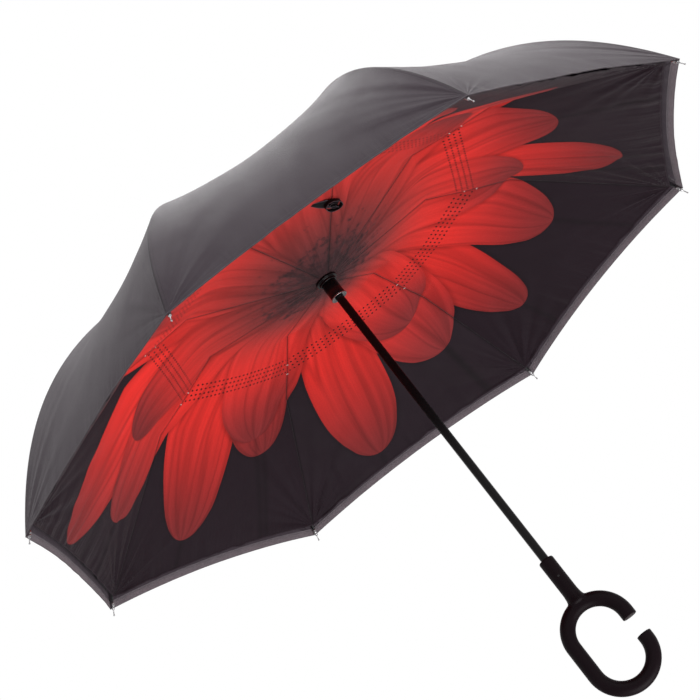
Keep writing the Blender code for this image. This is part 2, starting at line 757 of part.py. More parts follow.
def make_frame_arms():
    elbow = under_ridge(ELBOW_RIDGE_R, ROD_OFFSET)
    runner_hinge = Vector((HINGE_R, RUNNER_Z))
    notch_hinge = Vector((HINGE_R, NOTCH_Z))
    rib_line = elbow - runner_hinge
    rib_angle = math.atan2(rib_line.y, rib_line.x)
    pivot = runner_hinge + rib_line.normalized() * STRUT_PIVOT_AT
    strut_line = pivot - notch_hinge
    strut_angle = math.atan2(strut_line.y, strut_line.x)

    bow = []
    for i in range(ROD_STEPS + 1):
        r = ELBOW_RIDGE_R + (CANOPY_R - ELBOW_RIDGE_R) * i / ROD_STEPS
        bow.append(under_ridge(r, ROD_OFFSET) - elbow)
    end = bow[-1]
    chord_angle = math.atan2(end.y, end.x)
    level = Matrix.Rotation(-chord_angle, 2)
    bow = [level @ p for p in bow]
    last = bow[-1] - bow[-2]
    tip_angle = math.atan2(last.y, last.x)

    rib = finished(rib_mesh(rib_line.length), "rib_pattern", STEEL)
    strut = finished(strut_mesh(strut_line.length), "strut_pattern", STEEL)
    rod = finished(rod_mesh(bow), "rod_pattern", FIBREGLASS)
    tip = finished(tip_mesh(), "tip_pattern", BRIGHT_STEEL)
    for k in range(RIB_COUNT):
        a = azimuth(k)
        here = Vector((HINGE_R * math.cos(a), HINGE_R * math.sin(a)))
        arm = placed(rib.data, f"inner_rib_{k + 1}", RUNNER, (*here, 0), (0, -rib_angle, a))
        placed(strut.data, f"strut_{k + 1}", None, (*here, NOTCH_Z), (0, -strut_angle, a))
        bent = placed(
            rod.data, f"outer_rod_{k + 1}", arm, (rib_line.length, 0, 0), (0, rib_angle - chord_angle, 0)
        )
        placed(tip.data, f"rib_tip_{k + 1}", bent, (bow[-1].x, 0, bow[-1].y), (0, -tip_angle, 0))
    for pattern in (rib, strut, rod, tip):
        bpy.data.objects.remove(pattern, do_unlink=True)


STOP_PIN_Z = RUNNER_Z + RING_DISC_HALF + GAP + STOP_PIN_R
NOTCH_PIN_Z = HUB_TOP_Z - NOTCH_PIN_BELOW_TOP

clear_scene()
UMBRELLA = collection("inverted_umbrella")
WORKSHOP = collection("workshop")

CLOTH_GREY = material("cloth_grey", (0.10, 0.09, 0.10), 0.75)
CLOTH_PLUM = material("cloth_plum", (0.03, 0.02, 0.025), 0.7)
STRAP_BLACK = material("strap_black", (0.015, 0.013, 0.014), 0.6)
GLOSS_BLACK = material("gloss_black", (0.012, 0.010, 0.011), 0.2)
MATTE_BLACK = material("matte_black", (0.018, 0.014, 0.016), 0.55)
STEEL = material("steel", (0.45, 0.45, 0.46), 0.35, 1.0)
BRIGHT_STEEL = material("bright_steel", (0.7, 0.7, 0.72), 0.25, 1.0)
FIBREGLASS = material("fibreglass", (0.03, 0.03, 0.03), 0.45)

RUNNER = empty("runner_frame", (0, 0, RUNNER_Z))

make_shaft()
make_handle()
make_notch()
make_runner()
make_frame_arms()
make_outer_canopy()
make_inner_canopy()
make_strap()
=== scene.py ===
"""The looks of an inverted umbrella: two fabric layers, a C-shaped handle and a sliding runner.

Lengths are in metres in the part's own frame: the origin is the centre of the C, and +Z runs up the shaft.
Ribs are numbered from 1 at 22.5 degrees, and a panel lies between two ribs.
"""

import math
from functools import partialmethod
from types import SimpleNamespace

import bmesh
import bpy
import numpy as np
from mathutils import Matrix, Vector


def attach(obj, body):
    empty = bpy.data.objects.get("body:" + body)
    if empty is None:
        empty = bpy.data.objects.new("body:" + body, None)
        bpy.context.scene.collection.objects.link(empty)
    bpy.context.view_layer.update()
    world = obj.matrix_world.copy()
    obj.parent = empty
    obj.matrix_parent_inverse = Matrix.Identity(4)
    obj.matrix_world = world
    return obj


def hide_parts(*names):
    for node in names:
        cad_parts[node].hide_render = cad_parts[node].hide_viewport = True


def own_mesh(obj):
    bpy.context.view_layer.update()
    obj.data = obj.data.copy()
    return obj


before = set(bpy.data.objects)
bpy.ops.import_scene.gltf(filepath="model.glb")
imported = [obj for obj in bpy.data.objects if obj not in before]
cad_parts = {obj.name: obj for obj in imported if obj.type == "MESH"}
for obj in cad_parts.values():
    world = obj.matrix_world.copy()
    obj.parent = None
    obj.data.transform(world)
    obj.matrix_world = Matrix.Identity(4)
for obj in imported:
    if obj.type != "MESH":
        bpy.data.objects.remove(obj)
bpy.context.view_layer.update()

MM = 0.001
CM = 0.01

# Canopy, as in the solids
RIBS = 8
HALF_PANEL = math.pi / RIBS
RIM_R = 520 * MM
CROWN_RISE = 228.4 * MM
RIDGE_POWER = 4.08
TIPS_Z = 474 * MM
CROWN_Z = TIPS_Z + CROWN_RISE
SCALLOP_POWER = 6
INNER_FLAT_R = 17.5 * MM
INNER_RIM_R = 505 * MM
INNER_RIM_LIFT = 5 * MM
SEAM_R = (9.2 * MM, 17.5 * MM, 191 * MM, 256 * MM, 314 * MM, 505 * MM)
SEAM_RISE = (119.3 * MM, 119.3 * MM, 157.02 * MM, 140.02 * MM, 127.52 * MM, 9.31 * MM)
SEAM_SOFTNESS = 26 * MM
SEAM_OVERRUN = 80 * MM
SEAM_WINDOW = 90
SEAM_HUB = 60 * MM
EASE_SHARE = 0.3
FABRIC_T = 0.35 * MM

# Waves of the cloth
CREASE_REACH = 95 * MM
CREASE_START = 22 * MM
PLEAT_REACH = 42 * MM
HUB_WAVE = 0.5 * MM
HUB_WAVE_R = 70 * MM
HUB_WAVE_REACH = 45 * MM

# Columns across one panel, and how far they crowd towards the ribs
COLUMNS = 56
LAP_COLUMNS = 84
LAP_CROWDING = 0.25
BESIDE_RIB = 1.3 * MM
DISC_ROWS = 8
DISC_COLUMNS = 16
NO_SEAM_NEAR = 30 * MM

# The inner elbow, and the flap of cloth that covers it when the ribs fold
INNER_ELBOW_R = 314 * MM
BOW_START_R = 120 * MM
LAP_AT_RIB = 51 * MM
LAP_BETWEEN = 84 * MM
LAP_RISE = 1.6 * MM
LAP_STEPS = np.linspace(1, 0.1, 9)

# Each layer's bands run outward from the shaft: name, (radius, rows) steps, the body that carries the band,
# and the share of its width that is left when the umbrella is closed. Its ripples are the depths of the
# creases at the tips, of the slow swell and of the pleats at the rim.
OUTER = SimpleNamespace(
    name="outer", node="outer_canopy", slot="cloth_grey", side=-1,
    rim_r=RIM_R, flat_r=13 * MM, sag=15.6 * MM, scallop=10.5 * MM,
    ripples=(0.5 * MM, 0.8 * MM, 0.3 * MM), seed=40, crowding=0.45,
    hem_width=9.5 * MM, hem_t=0.7 * MM, hem_out=0.8 * MM,
    disc_r=27 * MM, disc_hole_r=6.2 * MM, disc_lift=-0.5 * MM, disc_body="root", disc_rests="top_notch",
    hub_r=20 * MM, bands=(
        ("collar", ((46 * MM, 4),), "strut", 0.90),
        ("crown", ((110 * MM, 7),), "strut", 0.46),
        ("dome", ((277 * MM, 17),), "strut", 0.22),
        ("bend", ((324 * MM, 7),), "outer_rod", 0.06),
        ("rim", ((470 * MM, 23), (RIM_R, 15)), "outer_rod", 0.15),
    ))
INNER = SimpleNamespace(
    name="inner", node="inner_canopy", slot="cloth_plum_print", side=1,
    rim_r=INNER_RIM_R, flat_r=INNER_FLAT_R, sag=6 * MM, scallop=5 * MM,
    ripples=(1.5 * MM, 0.7 * MM, 1.3 * MM), seed=90, crowding=0.35,
    hem_width=2.4 * MM, hem_t=0.5 * MM, hem_out=0.5 * MM,
    disc_r=26 * MM, disc_hole_r=9.4 * MM, disc_lift=0.6 * MM, disc_body="runner", disc_rests="runner_collar",
    hub_r=19 * MM, bands=(
        ("collar", ((34 * MM, 4),), "inner_rib", 0.96),
        ("throat", ((58 * MM, 5),), "inner_rib", 0.60),
        ("waist", ((100 * MM, 6),), "inner_rib", 0.37),
        ("hub", ((191 * MM, 15),), "inner_rib", 0.235),
        ("knee", ((256 * MM, 10), (INNER_ELBOW_R, 10)), "inner_rib", 0.275),
        ("rim", ((440 * MM, 21), (INNER_RIM_R, 17)), "outer_rod", 0.26),
    ))

# Vent holes in the inner layer, shown as dots of painted shade, and the ties beside them
VENT_ROWS = 4
VENT_Q = 223 * MM
VENT_ROW_PITCH = 7.5 * MM
VENT_PITCH = 7.3 * MM
VENT_HOLE_R = 1.6 * MM
VENT_MARGIN = 3.5 * MM
TIE_PLACES = (246 * MM, 264 * MM)
TIE_DROP = 0.25 * MM
TIE_SHIFT = 0.5 * MM
TIE_HALF_SIZES = (1.7 * MM, 0.6 * MM, 0.5 * MM)
TIE_KEEP = 0.9

# Colours, linear
OUTER_GREY = (0.066, 0.047, 0.061, 1)
OUTER_GREY_DARK = (0.050, 0.035, 0.046, 1)
HEM_GREY = (0.165, 0.138, 0.155, 1)
PLUM = (0.011, 0.0050, 0.0085, 1)
PLUM_LIGHT = (0.019, 0.0095, 0.0155, 1)
PETAL_CENTRE = (0.046, 0.020, 0.023, 1)
PETAL_THROAT = (0.105, 0.028, 0.030, 1)
PETAL_MIDDLE = (0.540, 0.032, 0.027, 1)
PETAL_BRIGHT = (0.760, 0.026, 0.020, 1)
PETAL_DULL = (0.270, 0.032, 0.030, 1)
PETAL_TIP = (0.150, 0.022, 0.024, 1)
SEAM_DARK = (0.010, 0.007, 0.009, 1)
VENT_HOLE_PAINTED_SHADE = (0.006, 0.004, 0.005, 1)
THREAD_WHITE = (0.52, 0.44, 0.42, 1)
BLACK = (0.0050, 0.0038, 0.0045, 1)
SOFT_BLACK = (0.0085, 0.0042, 0.0060, 1)
PLUG_BLACK = (0.030, 0.019, 0.020, 1)
ROD_BLACK = (0.020, 0.020, 0.021, 1)
RING_STEEL = (0.34, 0.33, 0.34, 1)
TIP_SILVER = (0.42, 0.41, 0.42, 1)
PLATED_STEEL = (0.55, 0.55, 0.57, 1)
RIB_STEEL = (0.38, 0.38, 0.40, 1)
WHITE = (1, 1, 1, 1)

# Rings of petals: their number, the first one's turn, length, half width and random seed
WHORLS = (
    (8, 0.31, 0.840 * RIM_R, 78 * MM, 11),
    (8, 0.80, 0.740 * RIM_R, 82 * MM, 23),
    (7, 0.12, 0.620 * RIM_R, 84 * MM, 37),
)


# Node graphs

class Num:
    """A number that a node gives at each point of a surface. Sums on it add Math nodes."""

    def __init__(self, graph, socket):
        self.graph = graph
        self.socket = socket

    def math(self, operation, *others):
        return self.graph.math(operation, self, *others)

    def __rsub__(self, other):
        return self.graph.math("SUBTRACT", other, self)

    def clipped(self, low, high):
        return self.math("MAXIMUM", low).math("MINIMUM", high)


for sign, operation in (("add", "ADD"), ("radd", "ADD"), ("sub", "SUBTRACT"), ("mul", "MULTIPLY"),
                        ("rmul", "MULTIPLY"), ("truediv", "DIVIDE"), ("pow", "POWER"), ("abs", "ABSOLUTE")):
    setattr(Num, f"__{sign}__", partialmethod(Num.math, operation))


class Graph:
    """The nodes of a material or of the world, round its shader."""

    def __init__(self, owner, shader, **values):
        owner.use_nodes = True
        self.owner = owner
        self.nodes = owner.node_tree.nodes
        self.links = owner.node_tree.links
        self.shader = self.nodes[shader]
        for name, value in values.items():
            self.set(name.replace("_", " ").title().replace("Ior", "IOR"), value)

    def set(self, name, value):
        self.feed(self.shader.inputs[name], value)
        return self

    def feed(self, socket, value):
        if isinstance(value, Num):
            value = value.socket
        if isinstance(value, bpy.types.NodeSocket):
            self.links.new(value, socket)
        else:
            socket.default_value = value

    def node(self, kind, inputs=(), **settings):
        made = self.nodes.new("ShaderNode" + kind)
        for name, value in settings.items():
            setattr(made, name, value)
        for key, value in dict(inputs).items():
            self.feed(made.inputs[key], value)
        return made

    def math(self, operation, *values):
        made = self.node("Math", enumerate(values), operation=operation)
        return Num(self, made.outputs[0])

    def step(self, value, low, high, out_low=0.0, out_high=1.0, kind="SMOOTHSTEP"):
        """It runs from out_low to out_high as value runs from low to high."""
        made = self.node("MapRange", {0: value, 1: low, 2: high, 3: out_low, 4: out_high},
                         interpolation_type=kind)
        return Num(self, made.outputs[0])

    def line(self, value, place, half, core):
        """A soft line where value meets place, full within core and gone beyond half."""
        return self.step(abs(value - place), half, core)

    def parts(self, kind, socket, count=3):
        """The separate numbers of a vector's or a colour's socket."""
        made = self.node(kind, {0: socket})
        return [Num(self, made.outputs[i]) for i in range(count)]

    def uv(self, name):
        return self.parts("SeparateXYZ", self.node("UVMap", uv_map=name).outputs[0], 2)

    def object_xyz(self):
        return self.parts("SeparateXYZ", self.node("TexCoord").outputs["Object"])

    def random(self, value):
        """Three random numbers for each whole value."""
        made = self.node("TexWhiteNoise", {"W": value}, noise_dimensions="1D")
        return self.parts("SeparateColor", made.outputs["Color"])

    def noise(self, x, y, z=0.0, scale=1.0, detail=2.0, roughness=0.5):
        place = self.node("CombineXYZ", {0: x, 1: y, 2: z})
        made = self.node("TexNoise", {"Vector": place.outputs[0], "Scale": scale, "Detail": detail,
                                      "Roughness": roughness})
        return Num(self, made.outputs[0])

    def mix(self, share, first, second, blend="MIX"):
        made = self.node("Mix", data_type="RGBA", blend_type=blend)
        for key, value in ((0, share), (6, first), (7, second)):
            self.feed(made.inputs[key], value)
        return made.outputs[2]

    def shade(self, color, factor):
        """The colour times a number."""
        grey = self.node("CombineColor", {0: factor, 1: factor, 2: factor})
        return self.mix(1.0, color, grey.outputs[0], "MULTIPLY")

    def ramp(self, value, stops):
        made = self.node("ValToRGB", {0: value})
        ramp = made.color_ramp
        while len(ramp.elements) < len(stops):
            ramp.elements.new(0.5)
        for element, (place, color) in zip(ramp.elements, stops):
            element.position = place
            element.color = color
        return made.outputs[0]

    def finish(self, color, height, roughness=None):
        """The material with its colour, its surface raised by height in metres, and its roughness."""
        made = self.node("Bump", {"Strength": 1.0, "Distance": 1.0, "Height": height})
        self.set("Base Color", color).set("Normal", made.outputs[0])
        if roughness is not None:
            self.set("Roughness", roughness)
        return self.owner


def surface(name, **values):
    """The graph of a new material."""
    return Graph(bpy.data.materials.new(name), "Principled BSDF", **values)


def distance(x, y):
    return (x * x + y * y).math("SQRT")


def dashes(along, pitch, share):
    return (along / pitch).math("FRACT").math("LESS_THAN", share)


def weave(graph, x, y, pitch, depth):
    """A plain weave's height: threads along x and y that pass over each other."""
    turn = 2 * math.pi / pitch
    slub = graph.noise(x * 30.0, y * 600.0, detail=1.0)
    return ((x * turn).math("SINE") * (y * turn).math("SINE") + slub * 0.6) * depth


# Fabric materials

def fabric_wrinkles(graph, across, back, depth):
    """Creases that fan out from a rib's tip."""
    reach = distance(across, back)
    rays = graph.noise(across.math("ARCTAN2", back) * 4.2, reach * 4.0, 3.1, detail=1.0)
    return (rays - 0.5) * graph.step(reach, 0.15, 0.008) * graph.step(reach, 0.0, 0.02) * depth


def petal_whorl(graph, x, y, count, turn, length, half_width, seed):
    """One ring of petals. It gives the metres inside a petal's edge, the place along it and shading."""
    sector = 2 * math.pi / count
    radius = distance(x, y)
    sway = graph.noise(x, y, seed, scale=5.0, detail=0.0) - 0.5
    place = y.math("ARCTAN2", x) / sector + (sway * 0.10 + (turn + count))
    index = place.math("FLOOR")
    number = index.math("FLOORED_MODULO", count)
    lean, size, tint = graph.random(number + seed)
    local = (place - index - 0.5 + (lean - 0.5) * 0.16) * sector
    along = radius * local.math("COSINE") / ((size * 0.16 + 0.92) * length)
    across = radius * local.math("SINE")
    taper = (1.0 - (along.clipped(0.0, 1.0) ** 5.2)).math("SQRT")
    half = (along.clipped(0.001, 1.0) ** 0.38) * taper * ((tint * 0.2 + 0.9) * half_width)
    notch = graph.noise(along * 4.0, across * 40.0, number + seed, detail=1.0) - 0.5
    edge = half - abs(across) + notch * taper * (7.0 * MM)
    border = radius * (0.5 - abs(place - index - 0.5)) * sector
    return SimpleNamespace(edge=edge, along=along, across=across, half=half, border=border, tint=tint,
                           key=number + seed, seed=seed, number=number)


def petal_color(graph, petal, radius):
    """Dark at the throat, bright half way out, dull at the tip, with long soft folds and streaks."""
    base = graph.ramp(radius / RIM_R, (
        (0.0, PETAL_CENTRE), (0.12, PETAL_THROAT), (0.22, PETAL_DULL),
        (0.32, PETAL_MIDDLE), (0.44, PETAL_BRIGHT), (1.0, PETAL_BRIGHT)))
    base = graph.mix(graph.step(petal.along, 0.58, 1.02) * 0.92, base, PETAL_TIP)
    share = petal.across / petal.half.math("MAXIMUM", 2 * MM)
    streak = graph.noise(petal.along * 1.6, share * 5.0, petal.key, detail=4.0, roughness=0.6)
    fine = graph.noise(petal.along * 5.0, petal.across * 700.0, petal.key, detail=2.0)
    fold = graph.noise(petal.along * 0.8, share * 1.7, petal.number * 3.7 + petal.seed, detail=1.0)
    crease = graph.step(abs(fold - 0.5), 0.0, 0.07)
    side = graph.step(petal.edge, 0.0, 7 * MM)
    meet = graph.step(petal.border, 0.0, 6 * MM)
    light = (streak * 0.7 + 0.66) * (fine * 0.16 + 0.92) * (crease * 0.24 + 0.77)
    light = light * (side * 0.14 + 0.86) * (meet * 0.22 + 0.78) * (petal.tint * 0.2 + 0.9)
    return graph.shade(base, light)


def flower_color(graph, x, y):
    """Rings of petals on mottled plum, with a smoky throat."""
    radius = distance(x, y)
    mottle = graph.noise(x, y, scale=9.0, detail=4.0)
    color = graph.mix(mottle, PLUM, PLUM_LIGHT)
    color = graph.mix(graph.step(radius, 0.50 * RIM_R, 0.46 * RIM_R), color, PETAL_DULL)
    for whorl in WHORLS:
        petal = petal_whorl(graph, x, y, *whorl)
        shadow = graph.step(petal.edge, -9 * MM, 1 * MM)
        beneath = graph.shade(color, 1.0 - shadow * 0.3)
        cover = graph.step(petal.edge, 0.0, 0.9 * MM)
        color = graph.mix(cover, beneath, petal_color(graph, petal, radius))
    rays = graph.noise(y.math("ARCTAN2", x) * 5.0, radius * 14.0, 5.0, detail=5.0, roughness=0.7)
    smoke = graph.noise(x, y, 2.0, scale=22.0, detail=4.0, roughness=0.65)
    wisps = graph.noise(x, y, 3.0, scale=75.0, detail=4.0, roughness=0.7)
    cloud = rays * 0.5 + smoke * 1.1 + wisps * 1.5 - 1.55
    throat = graph.step(radius + cloud * (190 * MM), 18 * MM, 92 * MM)
    return graph.mix(throat * 0.9 + 0.1, graph.shade(PETAL_CENTRE, wisps * 2.2 - 0.25), color)


def vent_holes(graph, p, q, away):
    """Where the rows of small round vent holes lie across each panel, clear of the seams; the holes are not
    cut but shown as dots of painted shade.
    """
    u = p / VENT_PITCH
    v = (q - VENT_Q) / VENT_ROW_PITCH + 0.5
    du = (u - (u + 0.5).math("FLOOR")) * VENT_PITCH
    dv = (v - v.math("FLOOR") - 0.5) * VENT_ROW_PITCH
    hole = graph.step(distance(du, dv), VENT_HOLE_R, VENT_HOLE_R * 0.8)
    rows = v.math("GREATER_THAN", 0.0) * v.math("LESS_THAN", float(VENT_ROWS))
    return hole * rows * away.math("GREATER_THAN", VENT_MARGIN)


def make_print_material():
    """Plum fabric with a printed flower, vent holes shown as dots of painted shade, seams with painted shade
    beside them, and stitches.
    """
    graph = surface("plum_print_fabric", sheen_weight=0.10, sheen_roughness=0.4, specular_ior_level=0.12)
    x, y = graph.uv("plan")
    p, q = graph.uv("cloth")
    d, t = graph.uv("seam")
    away = abs(d)
    hole = vent_holes(graph, p, q, away)
    seam = graph.step(away, 0.9 * MM, 0.35 * MM)
    # A soft painted shade, 4.5 mm wide, darkens the print beside each seam.
    seam_painted_shade = graph.step(away, 4.5 * MM, 0.8 * MM)
    stitch = graph.line(away, 2.1 * MM, 0.22 * MM, 0.10 * MM) * dashes(t, 2.6 * MM, 0.62)
    color = graph.shade(flower_color(graph, x, y), 1.0 - seam_painted_shade * 0.22 - stitch * 0.22)
    color = graph.mix(seam * 0.72, color, SEAM_DARK)
    speckle = graph.noise(x * 480.0, y * 480.0, 7.0, detail=2.0, roughness=0.7)
    # Each vent hole is a dark dot: painted shade standing in for the dark space a real hole would show, sunk
    # a little by the bump.
    color = graph.mix(hole, graph.shade(color, speckle * 0.34 + 0.83), VENT_HOLE_PAINTED_SHADE)

    back = INNER.arc - t
    pleat = graph.noise(p * 58.0, q * 5.0, 1.7, detail=1.5, roughness=0.55) - 0.5
    pucker = graph.noise(d * 90.0, t * 260.0, 4.0, detail=1.0) * graph.step(away, 8 * MM, 1 * MM)
    height = fabric_wrinkles(graph, d, back, 3.2 * MM)
    height += pleat * graph.step(back, 95 * MM, 4 * MM) * (4.2 * MM)
    height += (graph.noise(x, y, scale=26.0, detail=3.0) - 0.5) * (0.5 * MM)
    height += pucker * (0.22 * MM) + weave(graph, p, q, 0.5 * MM, 0.02 * MM)
    height = height - hole * (0.3 * MM) - seam * (0.5 * MM) + stitch * (0.12 * MM)
    return graph.finish(color, height, graph.noise(x, y, scale=40.0, detail=2.0) * 0.16 + 0.54)


def make_outer_material():
    """Grey fabric with a soft sheen, seams along the ribs and creases near the tips."""
    graph = surface("grey_fabric", sheen_weight=0.16, sheen_roughness=0.35, specular_ior_level=0.25)
    x, y = graph.uv("plan")
    p, q = graph.uv("cloth")
    d, t = graph.uv("seam")
    away = abs(d)
    back = OUTER.arc - t
    mottle = graph.noise(x, y, scale=7.0, detail=5.0)
    grain = graph.noise(p * 500.0, q * 500.0, 2.0, detail=2.0)
    hemline = graph.line(back, 8.8 * MM, 0.5 * MM, 0.15 * MM)
    seam = graph.step(away, 1.0 * MM, 0.4 * MM)
    fell = graph.line(away, 4.0 * MM, 0.55 * MM, 0.2 * MM)
    stitch = graph.line(away, 2.6 * MM, 0.25 * MM, 0.12 * MM) * dashes(t, 2.6 * MM, 0.62)
    color = graph.shade(graph.mix(mottle, OUTER_GREY_DARK, OUTER_GREY), grain * 0.3 + 0.86)
    color = graph.shade(color, 1.0 - seam * 0.62 - fell * 0.3 - stitch * 0.25 - hemline * 0.3)

    pleat = graph.noise(p * 110.0, q * 6.0, 8.0, detail=2.0, roughness=0.6) - 0.5
    pucker = graph.noise(d * 90.0, t * 240.0, 4.0, detail=1.0) * graph.step(away, 9 * MM, 1 * MM)
    height = fabric_wrinkles(graph, d, back, 1.8 * MM)
    height += pleat * graph.step(back, 40 * MM, 2 * MM) * (0.8 * MM)
    height += (graph.noise(x, y, scale=18.0, detail=4.0) - 0.5) * (0.7 * MM)
    height += pucker * (0.3 * MM) + weave(graph, p, q, 0.5 * MM, 0.02 * MM)
    height = height - seam * (0.35 * MM) - fell * (0.12 * MM) + stitch * (0.12 * MM) - hemline * (0.2 * MM)
    return graph.finish(color, height, graph.noise(x, y, scale=30.0, detail=2.0) * 0.18 + 0.52)


def make_hem_material(name, color):
    """Coarser fabric of a folded hem: u runs along the hem and v across it, both in metres."""
    graph = surface(name, roughness=0.75, sheen_weight=0.08, sheen_roughness=0.5, specular_ior_level=0.15)
    u, v = graph.uv("hem")
    grain = graph.noise(u * 620.0, v * 620.0, 1.0, detail=2.0, roughness=0.7)
    blotch = graph.noise(u * 60.0, v * 60.0, 6.0, detail=2.0)
    line = graph.line(v, 8.2 * MM, 0.35 * MM, 0.12 * MM)
    edge = graph.step(v, 0.2 * MM, 1.2 * MM) * 0.5 + 0.5
    tone = (grain * 2.4 - 0.2) * (blotch * 0.4 + 0.8) * edge
    tone *= 1.0 - line * dashes(u, 2.8 * MM, 0.6) * 0.35
    pucker = graph.noise(u * 160.0, v * 30.0, 3.0, detail=2.0) - 0.5
    height = pucker * (0.5 * MM) + grain * (0.10 * MM) - line * (0.2 * MM)
    return graph.finish(graph.shade(color, tone), height + weave(graph, u, v, 0.55 * MM, 0.03 * MM))


# Rigid materials

def make_plastic(name, color, roughness, grain, coat=0.0, specular=0.3):
    """Moulded plastic with a fine grain, faint handling marks, and edges that are lighter where the surface
    is most convex.
    """
    graph = surface(name, coat_weight=coat, coat_roughness=0.12, specular_ior_level=specular)
    x, y, z = graph.object_xyz()
    fine = graph.noise(x, y, z, scale=2600.0, detail=2.0, roughness=0.6)
    broad = graph.noise(x, y, z, scale=45.0, detail=4.0)
    edge = graph.step(graph.node("NewGeometry").outputs["Pointiness"], 0.52, 0.60)
    tone = (broad * 0.3 + 0.85) * (fine * 0.16 + 0.92) * (edge * 0.7 + 1.0)
    rough = (broad - 0.5) * 0.12 + (fine - 0.5) * 0.06 + roughness
    return graph.finish(graph.shade(color, tone), fine * grain, rough)


def make_metal(name, color, roughness, stretch=1, depth=0.01 * MM):
    """Drawn or plated metal with fine lines, specks and slight colour change."""
    graph = surface(name, metallic=1.0)
    x, y, z = graph.object_xyz()
    lines = graph.noise(x, y, z * stretch, scale=1800.0, detail=3.0)
    broad = graph.noise(x, y, z, scale=70.0, detail=3.0)
    tone = (broad * 0.3 + 0.82) * (lines * 0.14 + 0.92)
    rough = (lines - 0.5) * 0.25 + (broad - 0.5) * 0.15 + roughness
    return graph.finish(graph.shade(color, tone), lines * depth, rough)


def make_shaft_material():
    """Black lacquer on a drawn tube, with faint lines along it and a little wear from the runner."""
    graph = surface("shaft_lacquer", coat_weight=0.05, coat_roughness=0.1, specular_ior_level=0.12)
    x, y, z = graph.object_xyz()
    lines = graph.noise(x * 900.0, y * 900.0, z * 3.0, detail=2.0)
    wear = graph.noise(x * 30.0, y * 30.0, z * 26.0, detail=4.0)
    color = graph.shade(BLACK, (lines * 0.4 + 0.8) * (wear * 0.8 + 0.6))
    return graph.finish(color, lines * (0.0008 * MM), (wear - 0.5) * 0.16 + 0.26)


def make_webbing_material():
    """Black ribbed webbing with a painted highlight along each edge: u runs along the band in metres, and v
    across it from -1 to 1.
    """
    graph = surface("strap_webbing", roughness=0.7, sheen_weight=0.04, sheen_roughness=0.4,
                    specular_ior_level=0.12)
    u, v = graph.uv("band")
    ribs = (u * (2 * math.pi / (1.1 * MM))).math("SINE")
    yarn = (v * (2 * math.pi * 7)).math("SINE")
    fuzz = graph.noise(u * 1200.0, v * 7.0, 2.0, detail=2.0)
    # Both edges of the band are raised in the bump and made up to fourteen times lighter in the colour: a
    # painted highlight along each edge.
    selvedge_painted_highlight = graph.step(abs(v), 0.70, 0.95)
    tone = (ribs * 0.25 + 1.1) * (fuzz * 0.9 + 0.6) * (selvedge_painted_highlight * 13.0 + 1.0)
    height = (ribs * 0.10 + yarn * 0.05 + fuzz * 0.05 + selvedge_painted_highlight * 0.15) * MM
    return graph.finish(graph.shade(BLACK, tone), height)


# Surfaces of the two fabric layers

def ridge_rise(r):
    return CROWN_RISE * (1 - (r / RIM_R) ** RIDGE_POWER)


def ridge_slope(r):
    return -CROWN_RISE * RIDGE_POWER / RIM_R * (r / RIM_R) ** (RIDGE_POWER - 1)


def seam_rise(layer, r):
    """The height of a rib's seam above the tips."""
    return ridge_rise(r) if layer is OUTER else np.interp(r, SEAM_R, SEAM_RISE)


def softened_seam():
    """The inner seam's height against radius with its corners eased, as the cloth has them off the rib."""
    r = np.arange(0, RIM_R + SEAM_OVERRUN, MM)
    sharp = np.interp(r, SEAM_R, SEAM_RISE)
    falling = r > SEAM_R[-1]
    slope = (SEAM_RISE[-1] - SEAM_RISE[-2]) / (SEAM_R[-1] - SEAM_R[-2])
    sharp[falling] = SEAM_RISE[-1] + slope * (r[falling] - SEAM_R[-1])
    reach = np.arange(-SEAM_WINDOW, SEAM_WINDOW + 1) * MM
    weights = np.exp(-0.5 * (reach / SEAM_SOFTNESS) ** 2)
    soft = np.convolve(np.pad(sharp, SEAM_WINDOW, "edge"), weights / weights.sum(), "valid")
    hub = np.clip((r - INNER_FLAT_R) / SEAM_HUB, 0, 1)
    return r, sharp + (soft - sharp) * hub


SOFT_R, SOFT_RISE = softened_seam()


def seam_arc(layer, r):
    """Distance along the rib's seam from the shaft's axis to a radius."""
    fine = np.arange(0, RIM_R + MM, MM)
    steps = np.hypot(np.diff(fine), np.diff(seam_rise(layer, fine)))
    return np.interp(r, fine, np.concatenate([[0], np.cumsum(steps)]))


for cloth in (OUTER, INNER):
    cloth.arc = float(seam_arc(cloth, cloth.rim_r))


def panel_shares(radii, count, crowding):
    """Places across a panel, from 0 at one rib up to the next rib, one row for each radius."""
    u = np.linspace(0, 0.5, count // 2 + 1)
    half = u - crowding * np.sin(2 * math.pi * u) / (2 * math.pi)
    rows = []
    for r in radii:
        chord = 2 * r * math.sin(HALF_PANEL)
        near = min(BESIDE_RIB / chord, 0.4 * half[1])
        left = np.concatenate([[0, near], half[1:]])
        rows.append(np.concatenate([left, 1 - left[1:-1][::-1]]))
    return np.array(rows)


